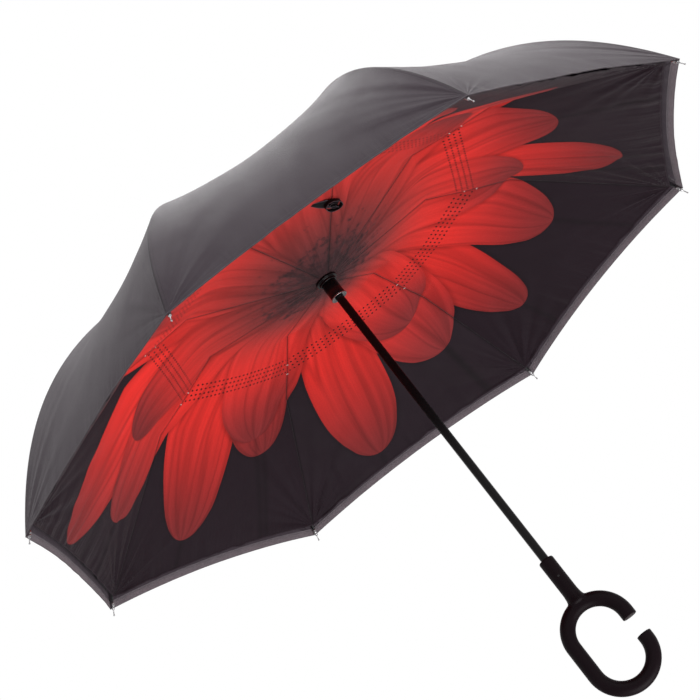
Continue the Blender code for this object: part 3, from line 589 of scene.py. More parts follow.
def ripple(layer, panel, share, r):
    """Waves of the cloth: creases from each tip, a slow swell, and pleats along the rim."""
    creases, swells, pleats = layer.ripples
    start = np.random.default_rng(layer.seed + panel).uniform(0, 2 * math.pi, 16)
    chord = 2 * r * math.sin(HALF_PANEL)
    back = np.maximum(layer.rim_r - r, 0)
    bulge = 1 - (2 * share - 1) ** 2
    radial = r / layer.rim_r
    total = np.zeros_like(share)
    for corner, (a, b, c) in ((share, start[0:3]), (1 - share, start[3:6])):
        beside = corner * chord
        reach = np.hypot(beside, back)
        fan = np.arctan2(beside, back + MM / 1000)
        fade = np.exp(-reach / CREASE_REACH) * np.clip(reach / CREASE_START, 0, 1)
        waves = np.sin(9 * fan + a) + 0.7 * np.sin(15 * fan + b) + 0.5 * np.sin(23 * fan + c)
        total += creases * waves * fade * np.clip(fan * 5, 0, 1)
    swell = np.sin(2.3 * math.pi * radial + start[6]) * np.sin(math.pi * share * 3 + start[7])
    swell += 0.6 * np.sin(5.1 * math.pi * radial + start[8]) * np.sin(math.pi * share * 5 + start[9])
    total += swells * swell * bulge * np.clip(radial * 2 - 0.3, 0, 1)
    turns = 2 * math.pi * share
    folds = np.sin(7 * turns + start[10]) + 0.8 * np.sin(12 * turns + start[11])
    folds += 0.4 * np.sin(19 * turns + start[12])
    strength = 0.55 + 0.45 * np.sin(2 * turns + start[13])
    total += pleats * folds * strength * np.exp(-back / PLEAT_REACH) * bulge ** 0.5
    hub = np.sin(4 * turns + start[14]) * np.exp(-((r - HUB_WAVE_R) / HUB_WAVE_REACH) ** 2)
    return total + HUB_WAVE * hub * bulge


def even_rows(radii, shares):
    return radii[:, None] + 0 * shares


def bowed(radii, shares, weight):
    """Rows that run outward between the ribs, until at weight 1 they cross each rib at a right angle."""
    near = np.minimum(shares, 1 - shares)
    full = 1 / (1 - 2 * near * math.sin(HALF_PANEL) ** 2)
    return radii[:, None] * (1 + weight[:, None] * (full - 1))


def hinged_rows(radii, shares):
    """Rows of the inner layer, square to each rib at the elbow, so that the cloth can turn there."""
    hub = np.clip((radii - BOW_START_R) / (INNER_ELBOW_R - BOW_START_R), 0, 1) ** 2
    rim = np.clip((INNER_RIM_R - radii) / (INNER_RIM_R - INNER_ELBOW_R), 0, 1)
    return bowed(radii, shares, np.minimum(hub, rim))


def lap_rows(radii, shares):
    """Rows that step back from the elbow, further between the ribs than on them."""
    near = np.minimum(shares, 1 - shares) * 2
    depth = LAP_AT_RIB + (LAP_BETWEEN - LAP_AT_RIB) * near
    return bowed(radii, shares, np.ones(len(radii))) - LAP_STEPS[:, None] * depth


def layer_grid(layer, radii, count, crowding, rows=even_rows, lift=0.0):
    """Points and normals of a whole fabric layer: rows outward, columns once round from the first rib."""
    radii = np.asarray(radii)
    shares = panel_shares(radii, count, crowding)
    r = rows(radii, shares)
    bulge = 1 - (2 * shares - 1) ** 2
    fall = (r / layer.rim_r) ** SCALLOP_POWER
    rise = seam_rise(layer, r)
    slope = ridge_slope(r)
    if layer is INNER:
        ease = np.clip(np.minimum(shares, 1 - shares) / EASE_SHARE, 0, 1)
        ease = ease * ease * (3 - 2 * ease)
        rise = rise + (np.interp(r, SOFT_R, SOFT_RISE) - rise) * ease + INNER_RIM_LIFT * fall * bulge
        slope = np.interp(r, SOFT_R, np.gradient(SOFT_RISE, SOFT_R))
    sag = layer.sag * np.sin(math.pi * np.clip((r - layer.flat_r) / (layer.rim_r - layer.flat_r), 0, 1))
    scallop = layer.scallop * fall
    length = np.hypot(1, slope)
    inward = (sag * slope - scallop) / length * bulge
    down = (sag + scallop * slope) / length * bulge
    parts = []
    for panel in range(RIBS):
        wave = ripple(layer, panel, shares, r)
        x = r * math.cos(HALF_PANEL) + inward - wave * slope / length
        y = r * math.sin(HALF_PANEL) * (2 * shares - 1)
        z = TIPS_Z + rise - down + wave / length
        turn = 2 * HALF_PANEL * (panel + 1)
        parts.append(np.stack([x * math.cos(turn) - y * math.sin(turn),
                               x * math.sin(turn) + y * math.cos(turn), z], -1))
    points = np.concatenate(parts, axis=1)
    points[:, :, 2] += np.reshape(lift, (-1, 1))
    across = np.roll(points, -1, axis=1) - np.roll(points, 1, axis=1)
    normals = np.cross(np.gradient(points, axis=0), across)
    normals /= np.linalg.norm(normals, axis=2, keepdims=True)
    return {"reach": r, "shares": shares, "points": points, "normals": normals}


def band_grids(layer, rows):
    """The layer's grid cut into its bands, which share the rows where they meet."""
    radii, ends = [layer.hub_r], [0]
    for _, steps, _, _ in layer.bands:
        for end, count in steps:
            radii += np.linspace(radii[-1], end, count + 1)[1:].tolist()
        ends.append(len(radii) - 1)

    def cut(grid):
        return [{key: grid[key][low:high + 1] for key in grid} for low, high in zip(ends, ends[1:])]

    grids = cut(layer_grid(layer, radii, COLUMNS, layer.crowding, rows))
    if layer is INNER:
        rim = cut(layer_grid(layer, radii, LAP_COLUMNS, LAP_CROWDING, rows))[-1]
        elbow = np.full(len(LAP_STEPS), INNER_ELBOW_R)
        lap = layer_grid(layer, elbow, LAP_COLUMNS, LAP_CROWDING, lap_rows, LAP_RISE)
        grids[-1] = {key: np.concatenate([lap[key], rim[key]]) for key in rim}
    return grids


def gore(layer, grid, rib):
    """The columns of a whole layer from the middle of one panel to the middle of the next."""
    count = grid["shares"].shape[1]
    columns = np.arange(-(count // 2), count // 2 + 1)
    picked = (rib * count + columns) % (RIBS * count)
    points = grid["points"][:, picked]
    signed = grid["shares"][:, columns % count] - (columns < 0)
    r = grid["reach"][:, columns % count]
    arc = seam_arc(layer, r)
    side = r * math.sin(HALF_PANEL)
    maps = {
        "plan": (points[:, :, :2],) * 2,
        "seam": (np.stack([signed * 2 * side, arc], -1),) * 2,
        "cloth": [np.stack([side * (2 * signed + way), arc * math.cos(HALF_PANEL)], -1) for way in (1, -1)],
    }
    return points, grid["normals"][:, picked], maps


def ring(layer, grid):
    """Points, normals and maps of a whole ring, for the small discs at the shaft."""
    points = grid["points"]
    arc = np.tile(seam_arc(layer, grid["reach"]), (1, RIBS))
    plan = (points[:, :, :2],) * 2
    maps = {"plan": plan, "seam": (np.stack([0 * arc + NO_SEAM_NEAR, arc], -1),) * 2, "cloth": plan}
    return points, grid["normals"], maps


def shell(name, points, normals, maps, side, material, closed=False):
    """A thin closed solid from a grid of points: rows outward, columns counterclockwise seen from above.

    side is -1 to grow below the points, 1 to grow above them. Each map holds the values that the faces
    left of the middle column take, and those that the rest take.
    """
    rows, columns = points.shape[:2]
    size = rows * columns
    ids = np.arange(size).reshape(rows, columns)
    if closed:
        ids = np.concatenate([ids, ids[:, :1]], axis=1)
    wide = ids.shape[1]
    quads = np.stack([ids[:-1, :-1], ids[1:, :-1], ids[1:, 1:], ids[:-1, 1:]], -1).reshape(-1, 4)
    is_left = np.arange(wide - 1) < (wide - 1) / 2
    left = np.tile(is_left, rows - 1)
    edges = [(ids[-1, :-1], ids[-1, 1:], is_left), (ids[0, 1:], ids[0, :-1], is_left)]
    if not closed:
        edges.append((ids[:-1, 0], ids[1:, 0], np.ones(rows - 1, bool)))
        edges.append((ids[1:, -1], ids[:-1, -1], np.zeros(rows - 1, bool)))
    walls = np.concatenate([np.stack([b, a, a + size, b + size], -1) for a, b, _ in edges])
    faces = np.concatenate([quads, quads[:, ::-1] + size, walls])
    face_left = np.concatenate([left, left, *(flags for _, _, flags in edges)])
    near = points.reshape(-1, 3)
    up = normals.reshape(-1, 3)
    far = near + up * (FABRIC_T * side)
    vertices = np.concatenate([near, far] if side < 0 else [far, near])
    mesh = bpy.data.meshes.new(name)
    mesh.from_pydata(vertices.tolist(), [], faces.tolist())
    loops = faces.reshape(-1)
    loop_left = np.repeat(face_left, 4)[:, None]
    for key, (left_values, right_values) in maps.items():
        values = np.where(loop_left, left_values.reshape(-1, 2)[loops % size],
                          right_values.reshape(-1, 2)[loops % size])
        mesh.uv_layers.new(name=key).data.foreach_set("uv", values.astype(np.float32).reshape(-1))
    mesh.shade_smooth()
    corners = vertices[walls]
    wall_normals = np.cross(corners[:, 1] - corners[:, 0], corners[:, 2] - corners[:, 1])
    wall_normals /= np.maximum(np.linalg.norm(wall_normals, axis=1, keepdims=True), 1e-12)
    shading = np.concatenate([up, -up])[loops]
    shading[-len(walls) * 4:] = np.repeat(wall_normals, 4, axis=0)
    mesh.normals_split_custom_set(shading.tolist())
    return new_object(name, mesh, material)


def cut_size(layer, grid):
    """Width, length and area of one gore before it is sewn."""
    r = np.concatenate([grid["reach"], grid["reach"][:, :1]], axis=1)
    shares = np.concatenate([grid["shares"], np.ones((len(r), 1))], axis=1)
    x = 2 * r * math.sin(HALF_PANEL) * (shares - 0.5)
    y = seam_arc(layer, r)
    first = (x[1:, 1:] - x[:-1, :-1]) * (y[:-1, 1:] - y[1:, :-1])
    second = (x[:-1, 1:] - x[1:, :-1]) * (y[1:, 1:] - y[:-1, :-1])
    area = float(np.sum(np.abs(first - second)) / 2)
    return (float(2 * r.max() * math.sin(HALF_PANEL)), float(y.max() - y.min())), area


# Objects

def use_only(mesh, material):
    mesh.materials.clear()
    mesh.materials.append(material)


def new_object(name, mesh, material):
    use_only(mesh, material)
    obj = bpy.data.objects.new(name, mesh)
    bpy.context.scene.collection.objects.link(obj)
    return obj


def solid(name, shape, material, sharp_degrees):
    """An object from a bmesh, smooth but for the edges that are sharper than an angle."""
    mesh = bpy.data.meshes.new(name)
    shape.to_mesh(mesh)
    shape.free()
    mesh.shade_smooth()
    mesh.set_sharp_from_angle(angle=math.radians(sharp_degrees))
    return new_object(name, mesh, material)


def rib_direction(rib):
    a = HALF_PANEL * (2 * rib + 1)
    return Vector((math.cos(a), math.sin(a), 0))


def at_rib(rib, r, z):
    """A place in a rib's plane, with X outward."""
    out = rib_direction(rib)
    turn = Matrix.Rotation(math.atan2(out.y, out.x), 4, "Z")
    return Matrix.Translation(out * r + Vector((0, 0, z))) @ turn


def dress(piece, body, nodes=()):
    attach(piece, body)
    if nodes:
        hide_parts(*nodes)
    return piece


def fold_with_rib(piece):
    """Gives the piece a mesh of its own."""
    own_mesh(piece)


def band_of_faces(shape, rings, wrapped=False):
    """Faces between closed rings of vertices, each ring joined to the next one."""
    pairs = list(zip(rings, rings[1:] + rings[:1] if wrapped else rings[1:]))
    count = len(rings[0])
    return [[shape.faces.new((here[j], here[(j + 1) % count], there[(j + 1) % count], there[j]))
             for j in range(count)] for here, there in pairs]


def turned(name, profile, material, steps=96, place=None):
    """A closed profile of (radius, height) points turned about Z, or about an axis that place gives."""
    shape = bmesh.new()
    turns = [2 * math.pi * i / steps for i in range(steps)]
    rings = [[shape.verts.new((r * math.cos(a), r * math.sin(a), z)) for r, z in profile] for a in turns]
    band_of_faces(shape, rings, wrapped=True)
    bmesh.ops.remove_doubles(shape, verts=shape.verts, dist=MM / 1000)
    bmesh.ops.dissolve_degenerate(shape, edges=shape.edges, dist=MM / 1000)
    if place is not None:
        bmesh.ops.transform(shape, matrix=place, verts=shape.verts)
    bmesh.ops.recalc_face_normals(shape, faces=shape.faces)
    return solid(name, shape, material, 40)


def swept(name, path, section, material):
    """A closed section of (side, up) points swept along a path of (point, tangent, up) frames."""
    shape = bmesh.new()
    rings = []
    for point, tangent, up in path:
        side = tangent.cross(up).normalized()
        rings.append([shape.verts.new(point + side * a + up * b) for a, b in section])
    layer = shape.loops.layers.uv.new("band")
    widest = max(abs(a) for a, _ in section)
    shares = [a / widest for a, _ in section]
    travelled = 0.0
    for i, faces in enumerate(band_of_faces(shape, rings)):
        further = travelled + (path[i + 1][0] - path[i][0]).length
        for face, near, far in zip(faces, shares, shares[1:] + shares[:1]):
            values = ((travelled, near), (travelled, far), (further, far), (further, near))
            for loop, value in zip(face.loops, values):
                loop[layer].uv = value
        travelled = further
    for end in (rings[0], rings[-1]):
        shape.faces.new(end)
    bmesh.ops.recalc_face_normals(shape, faces=shape.faces)
    return solid(name, shape, material, 50)


def rounded(profile, radius, steps=5):
    """A closed profile with each of its corners rounded by an arc."""
    out = []
    count = len(profile)
    for i, corner in enumerate(profile):
        here = Vector(corner)
        before = Vector(profile[i - 1]) - here
        after = Vector(profile[(i + 1) % count]) - here
        reach = min(radius, before.length * 0.45, after.length * 0.45)
        start = here + before.normalized() * reach
        end = here + after.normalized() * reach
        for t in (s / steps for s in range(steps + 1)):
            point = start * (1 - t) ** 2 + here * (2 * t * (1 - t)) + end * t ** 2
            out.append((point.x, point.y))
    return out


def outline(points, z=0.0):
    """A profile from (radius, height) points in millimetres, raised by z."""
    return [(r * MM, z + h * MM) for r, h in points]


def apply_modifiers(obj):
    """Puts the result of the object's modifiers in its mesh."""
    bpy.context.view_layer.update()
    graph = bpy.context.evaluated_depsgraph_get()
    mesh = bpy.data.meshes.new_from_object(obj.evaluated_get(graph))
    obj.modifiers.clear()
    obj.data = mesh


def smooth_line(points, steps):
    """A smooth curve through a list of points."""
    out = []
    count = len(points)
    for i in range(count - 1):
        a, b = points[max(i - 1, 0)], points[i]
        c, d = points[i + 1], points[min(i + 2, count - 1)]
        for t in (s / steps for s in range(steps)):
            out.append(0.5 * (2 * b + (c - a) * t + (2 * a - 5 * b + 4 * c - d) * t * t
                              + (3 * b - a - 3 * c + d) * t ** 3))
    out.append(points[-1])
    return out


# Fabric layers

def hem(layer, points, normals, rib, material):
    """A folded band along the rim of one gore, bent round the cloth's edge."""
    rim, up = points[-1], normals[-1]
    outward = rim - points[-2]
    outward /= np.linalg.norm(outward, axis=1, keepdims=True)
    width, thick, out = layer.hem_width, layer.hem_t, layer.hem_out
    low = -FABRIC_T if layer is OUTER else 0.0
    high = low + FABRIC_T
    proud = 0.12 * MM
    section = [(-width, low + proud / 2), (-width, low - 0.6 * thick), (-width * 0.6, low - thick),
               (-width * 0.2, low - thick), (out - 0.3 * MM, low - 0.7 * thick), (out, (low + high) / 2),
               (out - 0.4 * MM, high + proud), (-0.8 * MM, high + proud), (-1.1 * MM, high - proud),
               (-1.1 * MM, low + proud / 2)]
    along = np.concatenate([[0], np.cumsum(np.linalg.norm(np.diff(rim, axis=0), axis=1))])
    across = [out - a for a, _ in section]
    shape = bmesh.new()
    columns = np.stack([rim + outward * a + up * b for a, b in section], axis=1).tolist()
    rings = [[shape.verts.new(point) for point in column] for column in columns]
    band_of_faces(shape, rings)
    for end in (rings[0], rings[-1]):
        shape.faces.new(end)
    shape.verts.index_update()
    uv = shape.loops.layers.uv.new("hem")
    for face in shape.faces:
        for loop in face.loops:
            column, row = divmod(loop.vert.index, len(section))
            loop[uv].uv = (along[column], across[row])
    bmesh.ops.recalc_face_normals(shape, faces=shape.faces)
    return solid(f"{layer.name}_hem_{rib + 1}", shape, material, 60)


def make_ties(rib, material):
    """Two small knots of white thread on the seam, one on each side of the vent holes."""
    shape = bmesh.new()
    for r in TIE_PLACES:
        centre = at_rib(rib, r, TIPS_Z + float(seam_rise(INNER, r)) - TIE_DROP)
        for shift, turn in ((-TIE_SHIFT, 0.35), (TIE_SHIFT, -0.3)):
            place = centre @ Matrix.Translation((0, shift, 0)) @ Matrix.Rotation(math.pi / 2 + turn, 4, "Z")
            place @= Matrix.Diagonal((*TIE_HALF_SIZES, 1))
            bmesh.ops.create_uvsphere(shape, u_segments=12, v_segments=8, radius=1.0, matrix=place)
    return solid(f"rib_tie_{rib + 1}", shape, material, 180)


def make_layer(layer, fabric, hem_fabric, rows=even_rows, thread=None):
    """One fabric layer: eight gores, each cut into bands, with hems and ties, and the disc at the shaft."""
    grids = band_grids(layer, rows)
    for rib in range(RIBS):
        for grid, (part, _, carrier, keep) in zip(grids, layer.bands):
            body = f"{carrier}_{rib + 1}_arm"
            points, normals, maps = gore(layer, grid, rib)
            piece = shell(f"{layer.name}_fabric_{part}_{rib + 1}", points, normals, maps, layer.side, fabric)
            dress(piece, body, [layer.node])
            sewn_on = []
            if part == "rim":
                sewn_on.append((hem(layer, points, normals, rib, hem_fabric), keep))
            part == "rim" and layer is OUTER
            if part == "knee":
                sewn_on.append((make_ties(rib, thread), TIE_KEEP))
            for extra, share in sewn_on:
                fold_with_rib(dress(extra, body))
            fold_with_rib(piece)
            flat, area = cut_size(layer, grid)
    radii = np.linspace(layer.disc_hole_r, layer.disc_r, DISC_ROWS)
    lift = np.where(radii < layer.flat_r, 0, layer.disc_lift)
    points, normals, maps = ring(layer, layer_grid(layer, radii, DISC_COLUMNS, 0.0, lift=lift))
    piece = shell(f"{layer.name}_fabric_centre", points, normals, maps, layer.side, fabric, closed=True)
    dress(piece, layer.disc_body, [layer.node])


def make_canopies():
    make_layer(OUTER, make_outer_material(), make_hem_material("grey_hem", HEM_GREY))
    thread = make_plastic("white_thread", THREAD_WHITE, 0.7, 0.02 * MM, specular=0.1)
    make_layer(INNER, make_print_material(), make_hem_material("plum_hem", PLUM_LIGHT), hinged_rows, thread)


# Handle and shaft, as in the solids. Outlines are in millimetres.
GRIP_R = 9.65 * MM
LOOP_R = 38.35 * MM
LOOP_STRAIGHT = 41 * MM
LOOP_STEPS = 49
UPPER_END_Z = 11.8 * MM
LOWER_END_Z = -14.2 * MM
STEM_TOP_Z = 128.2 * MM
STEM_TOP_MM = ((8.5, 0), (9.6, -0.7), (10, -1.8))
STEM_FOOT_MM = ((10, 20), (10.7, 13), (12, 8), (13.4, 4), (8, 0), (0, 0))
SHAFT_R = 5.5 * MM
SHAFT_INNER_R = 4.6 * MM
SHAFT_LOW_Z = 74.2 * MM
SHAFT_TOP_Z = 708.5 * MM
SHAFT_ROWS = 40
SHAFT_GAP = 0.25 * MM
PLUG_R = 7.2 * MM
PLUG_GAP = 0.3 * MM
PLUG_DEPTH = 2.4 * MM
PLUG_MM = ((0, 0.5), (4, 0.45), (6.2, 0.25), (7, -0.1), (7.2, -0.6), (7.2, -2.2), (0, -2.2))
VOXEL = 0.85 * MM
FILLET_RISE = 7 * MM
FILLET_REACH = 14 * MM
FILLET_HALF_WIDTH = 30 * MM
FILLET_ROUNDS = 26
SMOOTH_ROUNDS = 3


def grip_path():
    """Frames along the C, from its upper end round to its lower end."""
    half = LOOP_STRAIGHT / 2
    upper, lower = ([(LOOP_R * math.cos(a), middle + LOOP_R * math.sin(a))
                     for a in np.linspace(start, start + math.pi, LOOP_STEPS)]
                    for middle, start in ((half, 0), (-half, math.pi)))
    line = [(LOOP_R, UPPER_END_Z), (LOOP_R, half - MM), *upper, (-LOOP_R, 0), *lower, (LOOP_R, LOWER_END_Z)]
    frames = []
    for i, (x, z) in enumerate(line):
        before, after = line[max(i - 1, 0)], line[min(i + 1, len(line) - 1)]
        tangent = Vector((after[0] - before[0], 0, after[1] - before[1])).normalized()
        frames.append((Vector((x, 0, z)), tangent, Vector((0, 1, 0))))
    return frames


def cut_out(obj, radius, low, high, at, material):
    """A round hole in the object, from one height to another above a point."""
    profile = [(0, low), (radius, low), (radius, high), (0, high)]
    tool = turned("cutter", profile, material, place=Matrix.Translation(at))
    cut = obj.modifiers.new("Cut", "BOOLEAN")
    cut.operation = "DIFFERENCE"
    cut.object = tool
    apply_modifiers(obj)
    bpy.data.objects.remove(tool, do_unlink=True)


def make_handle():
    """The C and its stem as one moulding, with a soft fillet where they meet."""
    plastic = make_plastic("soft_touch_plastic", SOFT_BLACK, 0.48, 0.003 * MM, specular=0.07)
    circle = [(GRIP_R * math.cos(a), GRIP_R * math.sin(a)) for a in np.linspace(0, 2 * math.pi, 49)[:-1]]
    crown_z = LOOP_STRAIGHT / 2 + LOOP_R
    profile = [(0, STEM_TOP_Z), *outline(STEM_TOP_MM, STEM_TOP_Z), *outline(STEM_FOOT_MM, crown_z)]
    shape = bmesh.new()
    for piece in (swept("grip", grip_path(), circle, plastic), turned("stem", profile, plastic)):
        shape.from_mesh(piece.data)
        bpy.data.objects.remove(piece, do_unlink=True)
    handle = solid("handle_grip", shape, plastic, 50)
    remesh = handle.modifiers.new("Remesh", "REMESH")
    remesh.mode = "VOXEL"
    remesh.voxel_size = VOXEL
    remesh.adaptivity = 0.0
    apply_modifiers(handle)
    fillet = handle.vertex_groups.new(name="fillet")
    for vertex in handle.data.vertices:
        x, _, z = vertex.co
        near = max(0.0, 1 - abs(z - (crown_z + FILLET_RISE)) / FILLET_REACH)
        near *= max(0.0, 1 - abs(x) / FILLET_HALF_WIDTH)
        fillet.add([vertex.index], min(1.0, 1.6 * near), "REPLACE")
    for group, rounds in (("fillet", FILLET_ROUNDS), ("", SMOOTH_ROUNDS)):
        smooth = handle.modifiers.new("Smooth", "SMOOTH")
        smooth.factor = 0.5
        smooth.iterations = rounds
        smooth.vertex_group = group
    apply_modifiers(handle)
    cut_out(handle, SHAFT_R + SHAFT_GAP, SHAFT_LOW_Z, STEM_TOP_Z + CM, (0, 0, 0), plastic)
    cut_out(handle, PLUG_R + PLUG_GAP, -CM, PLUG_DEPTH, (LOOP_R, 0, UPPER_END_Z), plastic)
    cut_out(handle, PLUG_R + PLUG_GAP, -PLUG_DEPTH, CM, (LOOP_R, 0, LOWER_END_Z), plastic)
    use_only(handle.data, plastic)
    for polygon in handle.data.polygons:
        polygon.material_index = 0
    handle.data.shade_smooth()
    handle.data.set_sharp_from_angle(angle=math.radians(38))
    dress(handle, "root", ["handle"])
    plug_plastic = make_plastic("end_plug_plastic", PLUG_BLACK, 0.45, 0.003 * MM)
    for end, z, way in (("upper", UPPER_END_Z, -1), ("lower", LOWER_END_Z, 1)):
        place = Matrix.Translation((LOOP_R, 0, z)) @ Matrix.Diagonal((1, 1, way, 1))
        plug = turned(f"end_plug_{end}", outline(PLUG_MM), plug_plastic, place=place)
        dress(plug, "root", [f"handle_end_cap_{end}"])


def make_shaft():
    heights = np.linspace(SHAFT_TOP_Z, SHAFT_LOW_Z, SHAFT_ROWS).tolist()
    rows = [(SHAFT_R, z) for z in heights] + [(SHAFT_INNER_R, z) for z in reversed(heights)]
    dress(turned("shaft_tube", rows, make_shaft_material(), steps=72), "root", ["shaft"])


# Runner, from its collar's top, and cap, from its foot. Outlines are in millimetres.
COLLAR_TOP_Z = TIPS_Z + 119 * MM
COLLAR_MM = ((15.5, 0), (15.5, -3), (12.2, -3), (12.2, -6.7), (8.5, -6.7), (8.5, 0))
COLLAR_ROUND = 0.8 * MM
SLEEVE_MM = ((8.2, 3.6), (8.2, -7), (10.1, -7.1), (10.5, -7.9), (10.5, -27.7), (10.1, -28.5), (5.85, -28.5),
             (5.85, 3.6))
RING_MM = ((11.3, -28.8), (11.3, -30.6), (9.6, -30.6), (8.8, -29.8), (5.85, -29.8), (5.85, -28.8))
RING_ROUND = 0.5 * MM
CAP_LOW_Z = CROWN_Z + 1.4 * MM
CAP_MM = ((0, 9), (3.5, 8.95), (7, 8.7), (9.6, 8.1), (11.8, 7), (13.3, 5.3), (14.2, 3.6), (14.5, 2.2),
          (14.5, 0.5), (14.1, 0), (5.85, 0), (5.85, 5.1), (0, 5.1))


def make_runner():
    gloss = make_plastic("runner_gloss_plastic", BLACK, 0.15, 0.001 * MM, coat=0.15, specular=0.2)
    steel = make_metal("runner_ring_steel", RING_STEEL, 0.14, 6, 0.001 * MM)
    collar = rounded(outline(COLLAR_MM, COLLAR_TOP_Z), COLLAR_ROUND)
    sleeve = outline(SLEEVE_MM, COLLAR_TOP_Z)
    end = rounded(outline(RING_MM, COLLAR_TOP_Z), RING_ROUND)
    for name, profile, material, slot, node in (
            ("runner_flange", collar, gloss, "runner_gloss_black", "runner_collar"),
            ("runner_sleeve", sleeve, gloss, "runner_gloss_black", "runner_body"),
            ("runner_bright_ring", end, steel, "plated_steel", "runner_end_ring")):
        dress(turned(name, profile, material), "runner", [node])


def make_top_cap():
    plastic = make_plastic("cap_plastic", BLACK, 0.4, 0.01 * MM)
    dress(turned("crown_cap", outline(CAP_MM, CAP_LOW_Z), plastic), "root", ["top_cap"])


# Rod ends: a ball on a needle, and the cap below it, in millimetres from the rod's end
ROD_UNDER_RIDGE = 4.6 * MM
ROD_STEP = 19.6 * MM
TIP_BALL_R = 1.15
TIP_BALL_Z = 9
TIP_MM = ((0.7, 7.6), (0.7, 2.6), (1.3, 1.7), (1.95, 0.7), (2.3, -0.4), (2.3, -2.2), (2.1, -2.6), (2.3, -3.0),
          (2.3, -7.6), (2.0, -8), (1.75, -8), (1.75, -0.2), (0, -0.2))


def under_ridge(r):
    """The rod's axis below the outer layer's ridge."""
    slope = ridge_slope(r)
    length = math.hypot(1, slope)
    return Vector((r + ROD_UNDER_RIDGE * slope / length, TIPS_Z + ridge_rise(r) - ROD_UNDER_RIDGE / length))


def make_tips():
    """A small cap over each rod's end that holds the cloth's corner, with a bright needle and ball."""
    silver = make_metal("tip_silver", TIP_SILVER, 0.26)
    end = under_ridge(RIM_R)
    before = under_ridge(RIM_R - ROD_STEP)
    angle = math.atan2(end.y - before.y, end.x - before.x)
    ball = [(TIP_BALL_R * math.cos(a), TIP_BALL_Z + TIP_BALL_R * math.sin(a))
            for a in np.linspace(math.pi / 2, -0.85, 12)[1:]]
    profile = outline([(0, TIP_BALL_Z + TIP_BALL_R), *ball, *TIP_MM])
    for rib in range(RIBS):
        place = at_rib(rib, end.x, end.y) @ Matrix.Rotation(math.pi / 2 - angle, 4, "Y")
        piece = turned(f"rib_end_{rib + 1}", profile, silver, steps=24, place=place)
        dress(piece, f"outer_rod_{rib + 1}_arm", [f"rib_tip_{rib + 1}"])


# Closure strap, as in the solids. Its lines have x in shares of its half length, y and z in millimetres.
STRAP_RIB = 6
STRAP_R = 144 * MM
STRAP_ASIDE = 11.5 * MM
STRAP_TURN = math.radians(114)
STRAP_LENGTH = 52 * MM
STRAP_DROP = 1.2 * MM
STRAP_SLOPE = 0.2174
TAB_LINE = ((-1.0, 0, -0.6), (-0.5, 0.3, -1.0), (0.0, -0.2, -1.2), (0.5, 0.2, -1.2), (0.86, 0, -0.9))
TAIL_LINE = ((0.80, 3.0, -3.6), (0.5, 0.4, -3.8), (0.2, 1.6, -4.0), (-0.04, -3.0, -4.2), (0.14, -6.6, -4.4))
LOOP_LINE = [(0.42 + 0.52 * math.cos(a), 8.2 * math.sin(a), -4.4 + 0.5 * math.sin(2 * a))
             for a in np.linspace(math.radians(200), math.radians(-150), 15)]
BIGHT_LINE = [(0.44 + 0.3 * math.cos(a), 4.2 * math.sin(a) - 0.8, -4.6) for a in np.linspace(0.4, 4.6, 9)]

# The webbing's section, in shares of its half width and half thickness
WEBBING = ((-1, -0.5), (-0.86, -1), (0.86, -1), (1, -0.5), (1, 0.5), (0.86, 1), (-0.86, 1), (-1, 0.5))


def make_strap():
    """A webbing tab sewn on at its narrow end, with a loop of the same band standing at the other."""
    webbing = make_webbing_material()
    place = at_rib(STRAP_RIB, STRAP_R, TIPS_Z + float(seam_rise(INNER, STRAP_R)) - STRAP_DROP)
    place @= Matrix.Rotation(-math.atan(STRAP_SLOPE), 4, "Y") @ Matrix.Translation((0, -STRAP_ASIDE, 0))
    place @= Matrix.Rotation(STRAP_TURN, 4, "Z")
    half = STRAP_LENGTH / 2
    for name, line, wide, thick in (
            ("tab", TAB_LINE, 6.4 * MM, 0.4 * MM), ("loop", LOOP_LINE, 3.0 * MM, 0.4 * MM),
            ("bight", BIGHT_LINE, 1.8 * MM, 0.35 * MM), ("tail", TAIL_LINE, 2.4 * MM, 0.35 * MM)):
        curve = smooth_line([Vector((x * half, y * MM, z * MM)) for x, y, z in line], 6)
        frames = []
        for i, point in enumerate(curve):
            tangent = (curve[min(i + 1, len(curve) - 1)] - curve[max(i - 1, 0)]).normalized()
            level = tangent.cross(Vector((0, 0, 1))).normalized()
            frames.append((point, tangent, level.cross(tangent) if name == "tab" else level))
        piece = swept(f"closure_{name}", frames, [(wide * a, thick * b) for a, b in WEBBING], webbing)
        if name == "tab":
            for vertex in piece.data.vertices:
                share = min(1.0, max(0.0, (vertex.co.x + half) / (0.9 * half)))
                vertex.co.y *= 0.18 + 0.82 * share ** 0.8
        piece.data.transform(place)
        dress(piece, f"inner_rib_{STRAP_RIB + 1}_arm", ["closure_strap"])


def dress_frame():
    """Materials for the solids that are shown as they are."""
    steel = make_metal("plated_steel", PLATED_STEEL, 0.28)
    rib_steel = make_metal("rib_steel", RIB_STEEL, 0.34)
    rod = make_plastic("fibreglass", ROD_BLACK, 0.4, 0.01 * MM, coat=0.2)
    black = make_plastic("moulded_black", BLACK, 0.45, 0.012 * MM)
    looks = (("inner_rib", rib_steel), ("strut", rib_steel), ("outer_rod", rod), ("top_notch", black),
             ("runner_crown", black), ("handle_pin", black), ("", steel))
    for name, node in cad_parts.items():
        if node.hide_render:
            continue
        use_only(node.data, next(material for start, material in looks if name.startswith(start)))
        node.data.shade_smooth()
        node.data.set_sharp_from_angle(angle=math.radians(32))


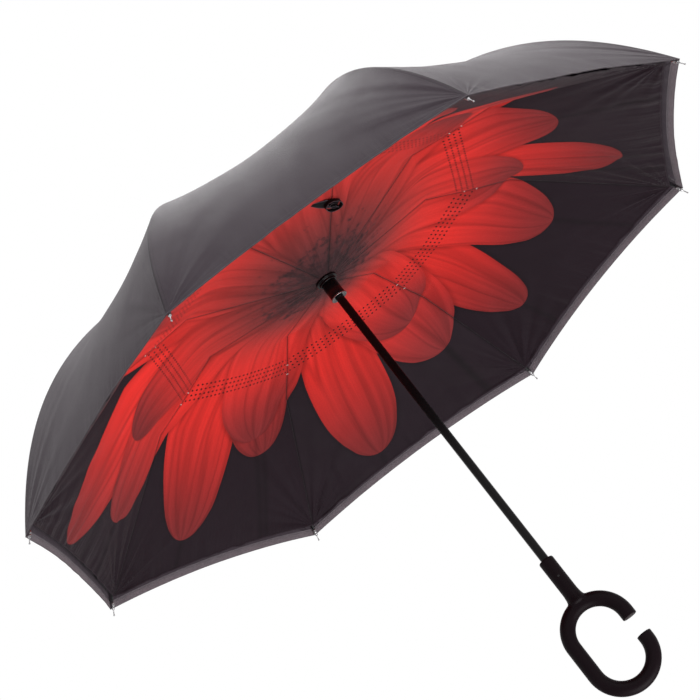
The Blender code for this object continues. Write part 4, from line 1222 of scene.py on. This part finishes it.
# Camera with its own axes, lamps and floor
CAMERA_AT = (-0.2411, -2.6574, -0.4838)
RIGHT = Vector((0.80411, 0.14865, -0.57560))
UP = Vector((0.58986, -0.32001, 0.74139))
BACK = Vector((-0.07399, -0.93567, -0.34501))
LENS = 115.29
SENSOR = 36
CLIP_END = 60
AMBIENT = 0.27
FLOOR_Z = -2.7
FLOOR_HALF = 12

# Lamps: name, shares of up, right and back in their direction, distance, size and power
LIT_CENTRE = Vector((0, 0, 0.45))
LAMPS = (
    ("key", (1.0, -0.15, 0.5), 2.6, 1.8, 21),
    ("low", (-0.7, 0.75, 0.6), 2.4, 1.6, 50),
    ("rim", (0.9, -0.35, -1.0), 2.6, 1.6, 36),
)


def make_camera():
    data = bpy.data.cameras.new("camera")
    data.lens = LENS
    data.sensor_width = SENSOR
    data.clip_end = CLIP_END
    camera = bpy.data.objects.new("camera", data)
    bpy.context.scene.collection.objects.link(camera)
    turn = Matrix((RIGHT, UP, BACK)).transposed().to_4x4()
    camera.matrix_world = Matrix.Translation(CAMERA_AT) @ turn
    bpy.context.scene.camera = camera


def make_lamps():
    """Square soft lamps that shine on the umbrella's middle."""
    for name, (up, right, back), away, size, power in LAMPS:
        data = bpy.data.lights.new(name, "AREA")
        data.shape = "SQUARE"
        data.size = size
        data.energy = power
        lamp = bpy.data.objects.new(name, data)
        toward = (UP * up + RIGHT * right + BACK * back).normalized()
        lamp.location = LIT_CENTRE + toward * away
        lamp.rotation_mode = "QUATERNION"
        lamp.rotation_quaternion = toward.to_track_quat("Z", "Y")
        bpy.context.scene.collection.objects.link(lamp)


def make_world():
    """White to the camera and in reflections, and a plain even light on the object."""
    world = bpy.data.worlds.new("studio")
    graph = Graph(world, "Background", color=WHITE)
    rays = graph.node("LightPath").outputs
    seen = graph.math("MAXIMUM", rays["Is Camera Ray"], rays["Is Glossy Ray"])
    seen = seen.math("MAXIMUM", rays["Is Transmission Ray"])
    graph.set("Strength", graph.step(seen, 0.0, 1.0, AMBIENT, 1.0, "LINEAR"))
    bpy.context.scene.world = world


def make_floor():
    graph = surface("floor", roughness=0.9)
    x, y, _ = graph.object_xyz()
    graph.set("Base Color", graph.shade(WHITE, graph.noise(x, y, scale=3.0, detail=3.0) * 0.03 + 0.86))
    seen = Num(graph, graph.node("LightPath").outputs["Is Camera Ray"])
    graph.set("Emission Color", WHITE).set("Emission Strength", seen * 0.75)
    shape = bmesh.new()
    bmesh.ops.create_grid(shape, x_segments=1, y_segments=1, size=FLOOR_HALF)
    floor = solid("floor", shape, graph.owner, 180)
    floor.location = (0, 0, FLOOR_Z)


make_camera()
make_world()
make_floor()
make_lamps()

make_canopies()
make_handle()
make_shaft()
make_runner()
make_top_cap()
make_tips()
make_strap()
dress_frame()

bpy.context.scene.view_settings.view_transform = "Standard"
